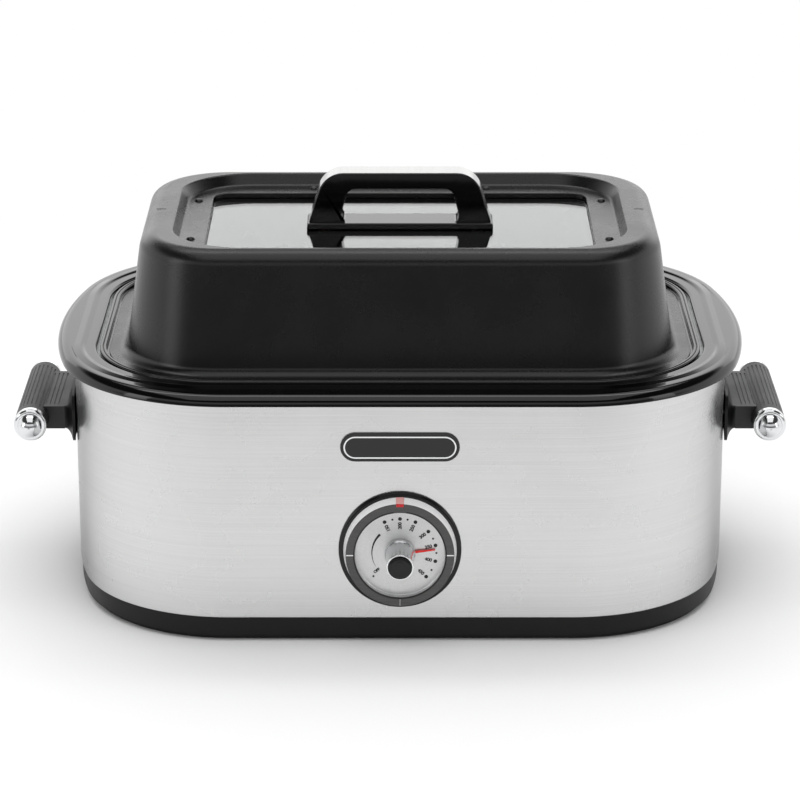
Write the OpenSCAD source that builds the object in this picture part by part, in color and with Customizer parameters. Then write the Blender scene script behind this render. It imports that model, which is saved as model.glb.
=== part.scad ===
// Electric roaster oven with a lift-off domed lid, a removable pan and a thermostat dial.
// Millimetres, +Z up, front towards -Y, standing on its feet at Z = 0.

/* [Body] */
// Width of the steel body between its side walls
body_w = 530; // [500:1:580]
// Depth of the steel body between its front and back walls
body_d = 375; // [360:1:420]
// Height of the steel body's top edge above the floor
body_h = 201.6; // [190:0.1:240]
// Plan radius of the body's corners
corner_r = 123; // [115:1:130]
// Angle that a corner turns before the bowed side wall takes over
corner_sweep = 76; // [74:1:79]
// Thickness of the body's sheet steel
shell_t = 0.7; // [0.6:0.1:1.5]
// Width of the flanges turned in at the body's top and bottom edges
shell_lip = 20; // [19:0.5:22]

/* [Base] */
// Height of the black base above the floor
base_h = 20; // [17:0.5:30]
// How far the base band lies inside the body wall
band_inset = 1.3; // [0.5:0.1:3]
// How far the bottom skirt lies inside the body wall
skirt_inset = 6; // [5:0.5:10]
// Height of the step between the skirt and the band
step_h = 5.4; // [4.5:0.1:7]
// Wall thickness of the moulded base
base_t = 2.4; // [2:0.1:3]
// How far the rubber feet stand below the skirt
foot_drop = 0.8; // [0.5:0.1:2]
// Radius of a rubber foot
foot_r = 11; // [8:0.5:14]
// Distance of each foot's centre from the body's side walls
foot_from_side = 66; // [60:1:90]
// Distance of each foot's centre from the body's front and back walls
foot_from_front = 52; // [45:1:80]

/* [Rim and well] */
// How far the black rim stands out past the body wall
rim_reach = 13; // [10:0.5:16]
// Thickness of the rim
rim_t = 2.4; // [2:0.1:3]
// Radius of the rim's rolled outer edge
rim_edge_r = 5.5; // [4:0.5:7]
// Height of the raised collar round the well
collar_h = 3; // [2:0.5:5]
// Width of the flat top of the raised collar
collar_flat = 10; // [7:0.5:10]
// Width of the sloping step outside the collar
collar_slope = 7; // [4:0.5:7]
// Width of the rim from the body wall in to the well opening
rim_land = 23; // [22:0.5:30]
// Plan radius of the well opening's corners
well_r = 100; // [98:0.5:106]
// Depth of the heated well below its flange
well_depth = 166; // [150:1:170]
// Thickness of the well's sheet metal
well_t = 0.7; // [0.6:0.1:1.5]

/* [Pan and rack] */
// Gap between the rim and the pan's rolled edge
pan_gap = 2.5; // [1.5:0.5:4]
// Width of the pan's rolled edge
bead_w = 5.5; // [4.5:0.5:7]
// Height of the pan's rolled edge
bead_h = 4.8; // [4:0.1:6]
// Width of the pan's flange that the lid rests on
pan_flange = 12; // [11:0.5:14]
// Thickness of the pan
pan_t = 0.9; // [0.8:0.1:2]
// Depth of the pan below its flange
pan_depth = 155; // [120:1:158]
// Gap between the pan's wall and the well's wall at the top
pan_play = 3; // [2:0.5:5]
// Slope of the pan's walls
pan_taper = 2; // [1:0.5:4]
// Diameter of the rack's frame wire
rack_wire = 5; // [4:0.5:6]
// Diameter of the rack's cross wires
cross_wire = 3; // [2:0.5:4]
// Number of the rack's cross wires
cross_count = 13; // [7:2:19]
// Height of the rack above the pan's floor
rack_h = 20; // [15:1:40]
// Height of the rack's lifting loops above its frame
loop_h = 45; // [30:1:70]
// Gap between the rack and the pan's wall at the floor
rack_gap = 10; // [8:1:20]

/* [Lid] */
// Height of the lid's top above the flange that it rests on
lid_h = 97.5; // [90:0.1:120]
// Thickness of the lid's sheet metal
lid_t = 1; // [0.8:0.1:1.6]
// Gap between the pan's rolled edge and the lid's brim
brim_gap = 2; // [1:0.5:3]
// Width of the lid's flat brim
brim_w = 7; // [5:0.5:8]
// Radius of the hollow curve from the brim to the lid's wall
brim_fillet = 8; // [6:0.5:10]
// Slope of the lid's walls
lid_taper = 8; // [4:0.5:9]
// Radius of the rounded edge round the lid's top
lid_edge_r = 13; // [10:0.5:15]
// Width of the lid's border beside the recess, at the left and right
border_side = 25; // [22:0.5:30]
// Width of the lid's border beside the recess, at the front and back
border_front = 15; // [15:0.5:20]
// Plan radius of the recess's corners
recess_r = 60; // [55:1:70]
// Depth of the recess in the lid's top
recess_depth = 9; // [7:0.5:12]
// Width of the recess's sloping wall
recess_slope = 7; // [5:0.5:9]
// Width of the recess's floor from its wall's top edge to the window, at the left and right
floor_side = 27; // [25:0.5:35]
// Width of the recess's floor from its wall's top edge to the window, at the front and back
floor_front = 31; // [30:0.5:35]
// Plan radius of the window's corners
window_r = 14; // [12:0.5:18]
// Depth of the turned-down edge round the window
window_lip = 4; // [3:0.1:5]
// Thickness of the window glass
glass_t = 4; // [3:0.5:5]
// How far the glass reaches past the window opening
glass_lap = 6; // [5:0.5:8]
// Length of each steam slot in the lid's border
steam_l = 9; // [5:0.5:10]
// Width of each steam slot
steam_w = 1.2; // [0.8:0.1:2]

/* [Lid handle] */
// Height of the lid handle above the glass
grip_h = 46; // [42:1:60]
// Width of the lid handle at its foot
grip_base_w = 150; // [145:1:170]
// Width of the lid handle at its top, before its corners are rounded
grip_top_w = 122; // [115:1:130]
// Radius of the lid handle's top corners
grip_corner_r = 20; // [15:1:24]
// Depth of the lid handle, front to back
grip_depth = 24; // [20:1:28]
// Thickness of the lid handle's top bar
grip_bar = 13; // [11:0.5:15]
// Width of the finger gap at its top
gap_top_w = 84; // [75:1:88]
// Width of the finger gap at its foot
gap_base_w = 100; // [90:1:106]
// Height of the bar along the handle's foot
foot_bar_h = 5.4; // [4:0.2:8]
// Depth of the bar along the handle's foot
foot_bar_d = 32; // [28:1:36]
// Thickness of the metal strip over the lid handle
strip_t = 1.2; // [0.8:0.1:2]
// Distance of each lid handle screw from the middle
grip_screw_x = 62; // [58:1:65]

/* [Side handles] */
// Height of the side handles' bars above the floor
handle_z = 137.5; // [120:0.5:160]
// Distance of each bar's centre line from the body's side wall
handle_reach = 33; // [28:0.5:40]
// Radius of each ribbed bar
bar_r = 13.3; // [11:0.1:15]
// Length of each bar's ribbed body
bar_l = 120; // [110:1:150]
// Length of the plain band at each end of the ribs
band_l = 9; // [6:0.5:12]
// Number of grooves round each bar
groove_count = 24; // [16:2:32]
// Width of the web that joins each bar to its flange
web_l = 92; // [80:1:100]
// Thickness of that web
web_t = 19; // [16:0.5:22]
// Length of each flange along the body
flange_l = 120; // [110:1:130]
// Height of each flange
flange_h = 38; // [34:1:44]
// Thickness of each flange at the web
flange_t = 7; // [5:0.5:9]
// Length of the chrome collar on each end cap
cap_l = 7; // [5:0.5:10]
// Radius of the ball on each end cap
ball_r = 10; // [8:0.5:12]

/* [Dial and badge] */
// Height of the dial's centre above the floor
dial_z = 77.8; // [70:0.1:90]
// Diameter of the black bezel against the body
bezel_d = 95.6; // [90:0.2:105]
// Thickness of the bezel
bezel_t = 3.4; // [2:0.1:5]
// Diameter of the dial ring where it meets the bezel
ring_base_d = 88; // [84:0.5:92]
// Diameter of the dial ring at its front
ring_front_d = 84; // [80:0.5:88]
// Height of the dial ring
ring_h = 10.5; // [8:0.5:14]
// Diameter of the dial face
face_d = 72; // [66:0.5:76]
// Depth of the dial face below the ring's front
face_drop = 5.5; // [3:0.5:7]
// Thickness of the dial face
face_t = 1.2; // [0.8:0.1:2]
// Width of the pilot light's lens
lens_w = 6; // [4:0.5:8]
// Distance from the body's front wall to the knob's front
knob_reach = 41; // [36:0.5:50]
// Diameter of the knob's skirt
skirt_d = 24; // [22:0.5:30]
// Diameter of the knob's collar
collar_d = 21; // [19:0.5:22]
// Diameter of the knob's cap
cap_d = 18; // [15:0.5:19]
// Diameter of the thermostat's shaft
shaft_d = 6; // [5:0.5:7]
// Angle of the needle from 12 o'clock, clockwise, as the knob is set
needle_angle = 83; // [0:1:134]
// Length of the needle from the knob's axis
needle_l = 27.5; // [24:0.5:30]
// Height of the badge plate's centre above the floor
badge_z = 162; // [150:0.5:165]
// Width of the badge plate
badge_w = 92; // [70:1:110]
// Height of the badge plate
badge_h = 23; // [18:0.5:26]

/* [Hidden] */
// The pieces, each a separate solid or a group of like solids

$fn = 64;
bow_fn = 256;

// Clearances
seat_gap = 0.3;      // between fixed curved pieces that lie on each other
run_gap = 0.05;      // radial, between the shaft and its bushing
screw_gap = 0.2;     // radial, round a screw's shank
knob_gap = 0.8;      // between the turning knob and the dial face

// Rounds a worked-out place, so that neighbouring sweeps share one face exactly
function rounded_off(x) = round(100 * x) / 100;

// Body outline in plan: straight front and back, round corners, bowed sides
bow_angle = 90 - corner_sweep;
bow_r = rounded_off((body_d / 2 - corner_r * (1 - cos(corner_sweep))) / cos(corner_sweep));
corner_y = body_d / 2 - corner_r;
flat_half = rounded_off(
    body_w / 2 - corner_r * sin(corner_sweep) - bow_r * (1 - sin(corner_sweep))
);
bow_x = body_w / 2 - bow_r;

// Point outside the body on the line where a corner arc and a side bow meet
meet = [bow_x + 2 * (flat_half - bow_x), 2 * corner_y];

// The body is set back so that knob and rim reach equally far from the origin
body_shift = (knob_reach - rim_reach) / 2;

// Heights of the pieces stacked on the body's top edge
rim_z = body_h + rim_t;
collar_z = rim_z + collar_h;
pan_rest_z = body_h;
lid_rest_z = pan_rest_z + pan_t;
lid_top_z = lid_rest_z + lid_h;
recess_z = lid_top_z - recess_depth;
lip_low_z = recess_z - window_lip;
glass_top_z = lip_low_z - seat_gap;
glass_low_z = glass_top_z - glass_t;

// Corner centres shared by the well opening, the pan and the lid's wall
well_cx = body_w / 2 - rim_land - well_r;
well_cy = body_d / 2 - rim_land - well_r;

// Corner radii about those centres, from the well opening inwards
bead_out_r = well_r - pan_gap;
bead_in_r = bead_out_r - bead_w;
pan_wall_r = bead_in_r - pan_flange;
well_wall_r = pan_wall_r + pan_play + well_t;
brim_out_r = bead_in_r - brim_gap;
brim_in_r = brim_out_r - brim_w;

// Fillets at the feet of the well's and the pan's walls, and where the pan's floor starts to rise
well_fillet = 24;
pan_fillet = 26;
pan_foot_r = pan_wall_r - (pan_depth + pan_t) * tan(pan_taper) - pan_fillet;
well_low_z = body_h - well_t - well_depth;

// Lid wall: hollow curve at its foot, slope, round edge at its top
lid_foot = [
    brim_in_r - brim_fillet * cos(lid_taper),
    lid_rest_z + lid_t + brim_fillet * (1 - sin(lid_taper))
];
lid_slope_top_z = lid_top_z - lid_edge_r * (1 - sin(lid_taper));
lid_slope_top_r = lid_foot[0] - (lid_slope_top_z - lid_foot[1]) * tan(lid_taper);
lid_edge_cr = lid_slope_top_r - lid_edge_r * cos(lid_taper);

// Recess and window in the lid's top: corner centres
recess_cx = rounded_off(well_cx + lid_slope_top_r - border_side - recess_r);
recess_cy = rounded_off(well_cy + lid_slope_top_r - border_front - recess_r);
window_cx = recess_cx + recess_r - floor_side - window_r;
window_cy = recess_cy + recess_r - floor_front - window_r;
frame_out_r = window_r + 19;

// Rivets that hold the window frame: two sizes, four of each
rivet_r = 1.5;
rivet_out = 12;
rivet_side_y = window_cy + window_r - 25;
rivet_front_x = window_cx + window_r - 82;

// Places of screws, gland and lamp
wall_y = body_d / 2;
base_screw_x = flat_half - 30;
base_screw_inset = skirt_inset + base_t + 5;
base_screw_r = 1.5;
base_screw_l = 4;
base_head_r = 3.2;
base_head_h = 2.2;
handle_screw_y = 30;
handle_screw_r = 2;
handle_screw_l = 12;
handle_head_r = 4;
handle_head_h = 3;
handle_screw_x = bow_x + sqrt(bow_r * bow_r - handle_screw_y * handle_screw_y) - shell_t;
gland_x = 90;
gland_r = 6.5;
gland_bore_r = 3.6;
gland_rim = 5;
gland_z = base_h + gland_r + 2.5;
block_w = 36;
block_d = 16;
block_h = 11;
block_y = wall_y - shell_lip - 2 - block_d / 2;
bushing_r = 5;
lamp_z = dial_z + (ring_front_d + face_d) / 4 + 0.6;
lamp_r = 2.2;
grip_screw_r = 2;
grip_screw_l = 14;
grip_head_r = 4.5;
grip_head_h = 3;
washer_r = 8;
washer_t = 1.5;
face_y = bezel_t + ring_h - face_drop;
band_t = 2.3;
band_h = 50;
band_z = well_low_z + well_fillet + 7;
wool_t = 18;
bracket_w = 60;
bracket_h = 44;
bracket_t = 1.5;
thermo_w = 36;
thermo_d = 22;
thermo_h = 30;

// Points along an arc about [x, y]
function arc(x, y, r, from, to, steps = 8) = [
    for (i = [0:steps])
        let (a = from + (to - from) * i / steps)
        [x + r * cos(a), y + r * sin(a)]
];

// Half section of a tub from its middle out: floor, rounded foot, sloping wall
function tub_section(top_r, top_z, low_z, fillet, t, slope) =
    let (
        z = low_z + fillet,
        x = top_r - (top_z - z + fillet * sin(slope)) * tan(slope) - fillet * cos(slope)
    )
    concat(
        [[0, low_z]], arc(x, z, fillet, -90, -slope), [[top_r, top_z]],
        [[top_r - t / cos(slope), top_z]], arc(x, z, fillet - t, -slope, -90), [[0, low_z + t]]
    );

// Puts the body's own middle in its place in the part's frame
module in_place() {
    translate([0, body_shift, 0]) children();
}

// Copies its children to both sides of the body's middle plane
module both_sides() {
    for (side = [0, 1])
        mirror([side, 0, 0]) children();
}

// Copies its children to the front and the back
module front_and_back() {
    for (side = [0, 1])
        mirror([0, side, 0]) children();
}

// Slice of a disc between two angles
module sector(r, from, to) {
    intersection() {
        circle(r);
        polygon([
            [0, 0],
            2 * r * [cos(from), sin(from)],
            2 * r * [cos((from + to) / 2), sin((from + to) / 2)],
            2 * r * [cos(to), sin(to)]
        ]);
    }
}

// Area above the line where a corner arc meets a side bow
module corner_zone() {
    polygon([[bow_x, 0], meet, [meet[0], 2 * body_d], [bow_x, 2 * body_d]]);
}

// Area between the two lines where a side bow meets its corner arcs
module bow_zone() {
    polygon([[bow_x, 0], [meet[0], -meet[1]], meet]);
}

// Body outline, moved out by grow
module outline(grow = 0) {
    square([2 * flat_half, body_d + 2 * grow], center = true);
    both_sides() {
        front_and_back() intersection() {
            translate([flat_half, corner_y]) circle(corner_r + grow);
            corner_zone();
        }
        intersection() {
            translate([bow_x, 0]) circle(bow_r + grow, $fn = bow_fn);
            bow_zone();
        }
    }
}

// Rounded rectangle from its corner centres and radius
module rounded(cx, cy, r) {
    square([2 * cx, 2 * (cy + r)], center = true);
    square([2 * (cx + r), 2 * cy], center = true);
    both_sides() front_and_back()
        translate([cx, cy]) sector(r, 0, 90);
}

// Sweeps a section round the body outline; its x is the distance out from the wall
module sweep_body() {
    both_sides() {
        front_and_back() intersection() {
            translate([flat_half, corner_y, 0])
                rotate_extrude(angle = 90) translate([corner_r, 0]) children();
            linear_extrude(2 * body_h) corner_zone();
        }
        intersection() {
            translate([bow_x, 0, 0])
                rotate_extrude(angle = 3 * bow_angle, start = -1.5 * bow_angle, $fn = bow_fn)
                    translate([bow_r, 0]) children();
            linear_extrude(2 * body_h) bow_zone();
        }
    }
    front_and_back()
        translate([-flat_half, body_d / 2, 0])
            rotate([90, 0, 90]) linear_extrude(2 * flat_half) children();
}

// Sweeps a section round a rounded rectangle; its x is the distance from the corner centres
module sweep_rounded(cx, cy) {
    both_sides() {
        front_and_back()
            translate([cx, cy, 0]) rotate_extrude(angle = 90) children();
        translate([cx, cy, 0]) rotate([90, 0, 0]) linear_extrude(2 * cy) children();
    }
    front_and_back()
        translate([-cx, cy, 0]) rotate([90, 0, 90]) linear_extrude(2 * cx) children();
}

// Turns its children's +Z to point forwards out of the front wall, from the wall's face
module on_front(x, z) {
    translate([x, -wall_y, z]) rotate([90, 0, 0]) children();
}

// Long pill in plan
module pill(w, h) {
    hull()
        for (side = [-1, 1])
            translate([side * (w - h) / 2, 0]) circle(h / 2);
}

// Ring along the body wall, w wide inwards from the wall's outer face
module wall_ring(w, z, h) {
    translate([0, 0, z]) linear_extrude(h) difference() {
        outline();
        outline(-w);
    }
}

module outer_shell() {
    color("silver") in_place() difference() {
        union() {
            wall_ring(shell_t, base_h, body_h - base_h);
            wall_ring(shell_lip, base_h, shell_t);
            wall_ring(shell_lip, body_h - well_t - shell_t, shell_t);
        }
        on_front(0, dial_z)
            translate([0, 0, -2 * shell_t]) cylinder(r = bushing_r + seat_gap, h = 3 * shell_t);
        on_front(0, lamp_z)
            translate([0, 0, -2 * shell_t]) cylinder(r = lamp_r + seat_gap, h = 3 * shell_t);
        gland_notch();
        both_sides() front_and_back()
            translate([body_w / 2 - 10, handle_screw_y, handle_z])
                rotate([0, 90, 0]) cylinder(r = handle_screw_r + screw_gap, h = 20);
        at_base_screws()
            translate([0, 0, base_h - 1]) cylinder(r = base_screw_r + screw_gap, h = 3 * shell_t);
    }
}

// Notch up from the shell's lower edge, which the gland slides into before the base closes it
module gland_notch() {
    half = gland_r + screw_gap;
    translate([gland_x - half, wall_y - shell_lip - 1, base_h - 1])
        cube([2 * half, shell_lip + 2, gland_z + half - base_h + 1]);
}

// Places of the screws that hold the base to the body's lower flange
module at_base_screws() {
    both_sides() {
        front_and_back()
            translate([base_screw_x, wall_y - base_screw_inset, 0]) children();
        translate([body_w / 2 - base_screw_inset, 0, 0]) children();
    }
}

// Places of the feet
module at_feet() {
    both_sides() front_and_back()
        translate([body_w / 2 - foot_from_side, body_d / 2 - foot_from_front, 0]) children();
}

module base_tray() {
    color("#1c1c1d") in_place() difference() {
        union() {
            sweep_body() polygon([
                [-skirt_inset - base_t, foot_drop],
                [-skirt_inset, foot_drop],
                [-skirt_inset, step_h],
                [-band_inset, step_h],
                [-band_inset, base_h],
                [-shell_lip, base_h],
                [-shell_lip, base_h - base_t],
                [-band_inset - base_t, base_h - base_t],
                [-band_inset - base_t, step_h + base_t],
                [-skirt_inset - base_t, step_h + base_t]
            ]);
            translate([0, 0, step_h - base_t]) linear_extrude(base_t) outline(-skirt_inset - 1);
            translate([gland_x, block_y, step_h - 0.5]) linear_extrude(2.5)
                square([block_w + 6, block_d + 3], center = true);
        }
        at_feet() cylinder(r = 3 + screw_gap, h = 3 * step_h);
        at_base_screws() cylinder(r = base_screw_r + screw_gap, h = 2 * base_h);
        at_base_screws() cylinder(r = base_head_r + 1, h = base_h - base_t - 1);
        base_vents();
    }
}

// Slots that let air into the space under the heated well
module base_vents() {
    front_and_back()
        for (i = [-5:5])
            translate([i * 22, body_d / 4, step_h - 2 * base_t])
                linear_extrude(3 * base_t) pill_slot(28, 5);
}

// Slot with round ends along Y
module pill_slot(l, w) {
    square([w, l - w], center = true);
    for (end = [-1, 1])
        translate([0, end * (l - w) / 2]) circle(w / 2);
}

module feet() {
    color("#2b2b2c") in_place() at_feet() rotate_extrude() polygon([
        [0, 0], [foot_r - 1, 0], [foot_r, 0.6], [foot_r, step_h - base_t],
        [3, step_h - base_t], [3, step_h], [4.2, step_h], [3, step_h + 3], [0, step_h + 3]
    ]);
}

module base_screws() {
    color("#9a9c9e") in_place() at_base_screws() {
        difference() {
            translate([0, 0, base_h - base_t - base_head_h])
                cylinder(r = base_head_r, h = base_head_h);
            translate([0, 0, base_h - base_t - base_head_h])
                cube([1.4 * base_head_r, 0.9, base_head_h], center = true);
        }
        translate([0, 0, base_h - base_t])
            cylinder(r = base_screw_r, h = base_t + shell_t + base_screw_l);
    }
}

module top_rim() {
    edge_x = rim_reach - rim_edge_r;
    slope_out = well_r + collar_flat + collar_slope;
    color("#141414") in_place() {
        sweep_body() polygon(concat(
            arc(edge_x, rim_z - rim_edge_r, rim_edge_r, 90, 0),
            arc(edge_x, rim_z - rim_edge_r, rim_edge_r - rim_t, 0, 90),
            [[-shell_t - 1, body_h], [-shell_t - 1, rim_z]]
        ));
        translate([0, 0, body_h]) linear_extrude(rim_t) difference() {
            outline(-shell_t);
            rounded(well_cx, well_cy, slope_out - 0.5);
        }
        sweep_rounded(well_cx, well_cy) polygon(concat(
            [[slope_out, rim_z], [well_r + collar_flat, collar_z]],
            arc(well_r + rim_t / 2, collar_z - rim_t / 2, rim_t / 2, 90, 180, 4),
            [
                [well_r, body_h], [well_r + rim_t, body_h],
                [well_r + rim_t, body_h + collar_h],
                [well_r + collar_flat - 1, body_h + collar_h],
                [slope_out - 1, body_h], [slope_out, body_h]
            ]
        ));
    }
}

module cook_well() {
    color("#b9bab8") in_place() {
        translate([0, 0, body_h - well_t]) linear_extrude(well_t) difference() {
            outline(-shell_t - seat_gap);
            rounded(well_cx, well_cy, well_wall_r - well_t / 2);
        }
        sweep_rounded(well_cx, well_cy)
            polygon(tub_section(well_wall_r, body_h, well_low_z, well_fillet, well_t, 0));
        translate([-well_cx, -well_cy, well_low_z]) cube([2 * well_cx, 2 * well_cy, well_t]);
    }
}

// Space kept free of insulation behind the dial
module dial_space() {
    translate([-bracket_w - 35, -wall_y, dial_z - bracket_h + 8])
        cube([2 * bracket_w + 70, thermo_d + 38, 2 * bracket_h + 2]);
}

module insulation() {
    color("#d8cfa8") in_place() difference() {
        translate([0, 0, well_low_z + well_fillet])
            linear_extrude(well_depth - 2 * well_fillet) difference() {
                rounded(well_cx, well_cy, well_wall_r + wool_t);
                rounded(well_cx, well_cy, well_wall_r + band_t + seat_gap);
            }
        dial_space();
    }
}

module heating_band() {
    color("#8d8471") in_place()
        translate([0, 0, band_z]) linear_extrude(band_h) difference() {
            rounded(well_cx, well_cy, well_wall_r + band_t);
            rounded(well_cx, well_cy, well_wall_r + seat_gap);
        }
}

module band_terminals() {
    color("#c8a24a") in_place()
        for (z = [0.32, 0.68] * band_h)
            translate([62, -well_cy - well_wall_r - band_t, band_z + z]) rotate([90, 0, 0]) {
                cylinder(r = 4, h = 2);
                cylinder(r = 2, h = 12);
                translate([0, 0, 9]) cube([6.3, 0.8, 12], center = true);
            }
}

module thermostat() {
    color("#e4e0d4") in_place() on_front(0, dial_z) difference() {
        union() {
            translate([-thermo_w / 2, -thermo_h / 2, -shell_t - bracket_t - thermo_d])
                cube([thermo_w, thermo_h, thermo_d]);
            translate([0, 0, -shell_t - bracket_t]) cylinder(r = bushing_r, h = 8);
        }
        translate([0, 0, -shell_t - bracket_t - thermo_d / 2])
            cylinder(r = shaft_d / 2 + run_gap, h = 30);
    }
}

module thermostat_bracket() {
    color("#a9abad") in_place() on_front(0, dial_z) difference() {
        translate([-bracket_w / 2, -bracket_h / 2, -shell_t - bracket_t])
            cube([bracket_w, bracket_h, bracket_t]);
        translate([0, 0, -20]) cylinder(r = bushing_r + screw_gap, h = 30);
    }
}

module bushing_nut() {
    color("#a9abad") in_place() on_front(0, dial_z) difference() {
        cylinder(r = 7.5, h = 2.2, $fn = 6);
        translate([0, 0, -1]) cylinder(r = bushing_r + seat_gap / 2, h = 5);
    }
}

module pilot_lamp() {
    color("#e8743b") in_place() on_front(0, lamp_z) {
        translate([0, 0, -12]) cylinder(r = lamp_r, h = 12 + bezel_t - seat_gap);
        translate([0, 0, -14]) cylinder(r = lamp_r + 1.4, h = 14 - shell_t);
    }
}

module pilot_lens() {
    color("#c8352c") in_place() on_front(0, dial_z) intersection() {
        lens_slot(lens_w);
        rotate_extrude() polygon([
            [face_d / 2 + 0.6, bezel_t],
            [ring_base_d / 2 + 0.3, bezel_t],
            [ring_front_d / 2 + 0.3, bezel_t + ring_h],
            [ring_front_d / 2 - 0.5, bezel_t + ring_h + 0.4],
            [face_d / 2 + 0.6, bezel_t + ring_h + 0.4]
        ]);
    }
}

// Radial slot at 12 o'clock of the dial ring
module lens_slot(w) {
    translate([-w / 2, face_d / 2 - 1, 0]) cube([w, 12, bezel_t + ring_h + 2]);
}

module dial_bezel() {
    color("#0e0e0e") in_place() on_front(0, dial_z) difference() {
        rotate_extrude() polygon(concat(
            [[0, 0], [bezel_d / 2, 0]],
            arc(bezel_d / 2 - 2, bezel_t - 2, 2, 0, 90, 5),
            [[0, bezel_t]]
        ));
        translate([0, 0, -1]) cylinder(r = 9, h = bezel_t + 2);
        translate([0, lamp_z - dial_z, -1]) cylinder(r = lamp_r + seat_gap, h = bezel_t + 2);
    }
}

module dial_ring() {
    color("#8e9092") in_place() on_front(0, dial_z) difference() {
        rotate_extrude() polygon([
            [face_d / 2 - 4, bezel_t],
            [ring_base_d / 2, bezel_t],
            [ring_front_d / 2, bezel_t + ring_h - 0.8],
            [ring_front_d / 2 - 0.8, bezel_t + ring_h],
            [face_d / 2, bezel_t + ring_h],
            [face_d / 2, face_y - face_t],
            [face_d / 2 - 4, face_y - face_t]
        ]);
        lens_slot(lens_w + 0.2);
    }
}

module dial_face() {
    color("#d2d3d4") in_place() on_front(0, dial_z) difference() {
        translate([0, 0, face_y - face_t]) cylinder(r = face_d / 2 - 0.1, h = face_t);
        translate([0, 0, face_y - 2 * face_t]) cylinder(r = 9, h = 3 * face_t);
    }
}

module badge_plate() {
    color("#0d0d0e") in_place() on_front(0, badge_z) linear_extrude(1.6) pill(badge_w, badge_h);
}

module badge_border() {
    color("#c9cacb") in_place() on_front(0, badge_z)
        translate([0, 0, 1.6]) linear_extrude(0.4) difference() {
            pill(badge_w - 5, badge_h - 5);
            pill(badge_w - 7.4, badge_h - 7.4);
        }
}

module cord_gland() {
    color("#161616") in_place() translate([gland_x, wall_y, gland_z]) rotate([-90, 0, 0])
        difference() {
            union() {
                rotate_extrude() polygon([
                    [0, 0], [gland_r + gland_rim, 0], [gland_r + gland_rim, 1.6],
                    [gland_r + 1, 4], [0, 4]
                ]);
                translate([0, 0, -10]) cylinder(r = gland_r, h = 11);
            }
            translate([0, 0, -12]) cylinder(r = gland_bore_r, h = 20);
        }
}

module terminal_block() {
    color("#e9e6dc") in_place()
        translate([gland_x, block_y, step_h + 2]) difference() {
            translate([-block_w / 2, -block_d / 2, 0]) cube([block_w, block_d, block_h]);
            for (i = [-1:1])
                translate([i * block_w / 3, 0, block_h / 3]) cylinder(r = 2, h = block_h);
        }
}

// Section of a grooved bar
module grooved_disc(r, count) {
    difference() {
        circle(r);
        for (i = [0:count - 1])
            rotate(i * 360 / count) translate([r, 0]) circle(0.55, $fn = 8);
    }
}

// Bar and web of one side handle, at the right
module side_grip() {
    x = body_w / 2 + handle_reach;
    ribs = bar_l - 2 * band_l;
    web_end = body_w / 2 + flange_t;
    translate([x, 0, handle_z]) rotate([90, 0, 0]) {
        translate([0, 0, -ribs / 2]) linear_extrude(ribs) grooved_disc(bar_r, groove_count);
        for (end = [0, 1])
            mirror([0, 0, end]) translate([0, 0, ribs / 2]) cylinder(r = bar_r, h = band_l);
    }
    difference() {
        translate([web_end, -web_l / 2, handle_z - web_t / 2])
            cube([x - web_end - bar_r / 2, web_l, web_t]);
        for (i = [0:3])
            translate([web_end + 3.5 * i + 5, 0, handle_z + web_t / 2])
                rotate([90, 0, 0]) cylinder(r = 0.55, h = web_l - 12, center = true, $fn = 8);
        front_and_back() translate([web_end - 1, handle_screw_y, handle_z])
            rotate([0, 90, 0]) cylinder(r = handle_screw_r, h = handle_screw_l);
    }
}

// Flared foot of one side handle, against the right wall
module side_flange() {
    x = body_w / 2;
    low = handle_z - flange_h / 2 + 1;
    high = low + flange_h;
    difference() {
        intersection() {
            translate([0, flange_l / 2, 0]) rotate([90, 0, 0]) linear_extrude(flange_l) polygon([
                [x - 30, low], [x + 2, low], [x + 4.6, low + 1.6], [x + 5.2, low + 5],
                [x + flange_t, handle_z - web_t / 2], [x + flange_t, handle_z + web_t / 2],
                [x + 5.2, high - 5], [x + 3, high], [x - 30, high]
            ]);
            linear_extrude(2 * handle_z) polygon([
                [x - 30, -flange_l / 2], [x - 2.2, -flange_l / 2], [x + flange_t, -web_l / 2],
                [x + flange_t, web_l / 2], [x - 2.2, flange_l / 2], [x - 30, flange_l / 2]
            ]);
            translate([x - 30, 0, 0]) rotate([90, 0, 90]) linear_extrude(40) polygon([
                [-flange_l / 2, low + 9], [-web_l / 2, low], [web_l / 2, low],
                [flange_l / 2, low + 9], [flange_l / 2, high - 9], [web_l / 2, high],
                [-web_l / 2, high], [-flange_l / 2, high - 9]
            ]);
        }
        translate([bow_x, 0, low - 1])
            cylinder(r = bow_r + seat_gap / 3, h = flange_h + 2, $fn = bow_fn);
        front_and_back() translate([x - 10, handle_screw_y, handle_z])
            rotate([0, 90, 0]) cylinder(r = handle_screw_r + screw_gap, h = 30);
    }
}

// Chrome caps on both ends of the right bar
module side_caps() {
    front_and_back()
        translate([body_w / 2 + handle_reach, bar_l / 2, handle_z]) rotate([-90, 0, 0]) {
            rotate_extrude() polygon(concat(
                [[0, 0], [bar_r, 0]],
                arc(bar_r - 2.5, cap_l - 2.5, 2.5, 0, 90, 6),
                [[0, cap_l]]
            ));
            translate([0, 0, cap_l - 1]) intersection() {
                sphere(ball_r);
                cylinder(r = 2 * ball_r, h = 2 * ball_r);
            }
        }
}

module handle_grip_right() {
    color("#4a4a4b") in_place() side_grip();
}

module handle_grip_left() {
    color("#4a4a4b") in_place() mirror([1, 0, 0]) side_grip();
}

module handle_flange_right() {
    color("#2a2a2b") in_place() side_flange();
}

module handle_flange_left() {
    color("#2a2a2b") in_place() mirror([1, 0, 0]) side_flange();
}

module handle_caps_right() {
    color("#d9dadb") in_place() side_caps();
}

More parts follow.
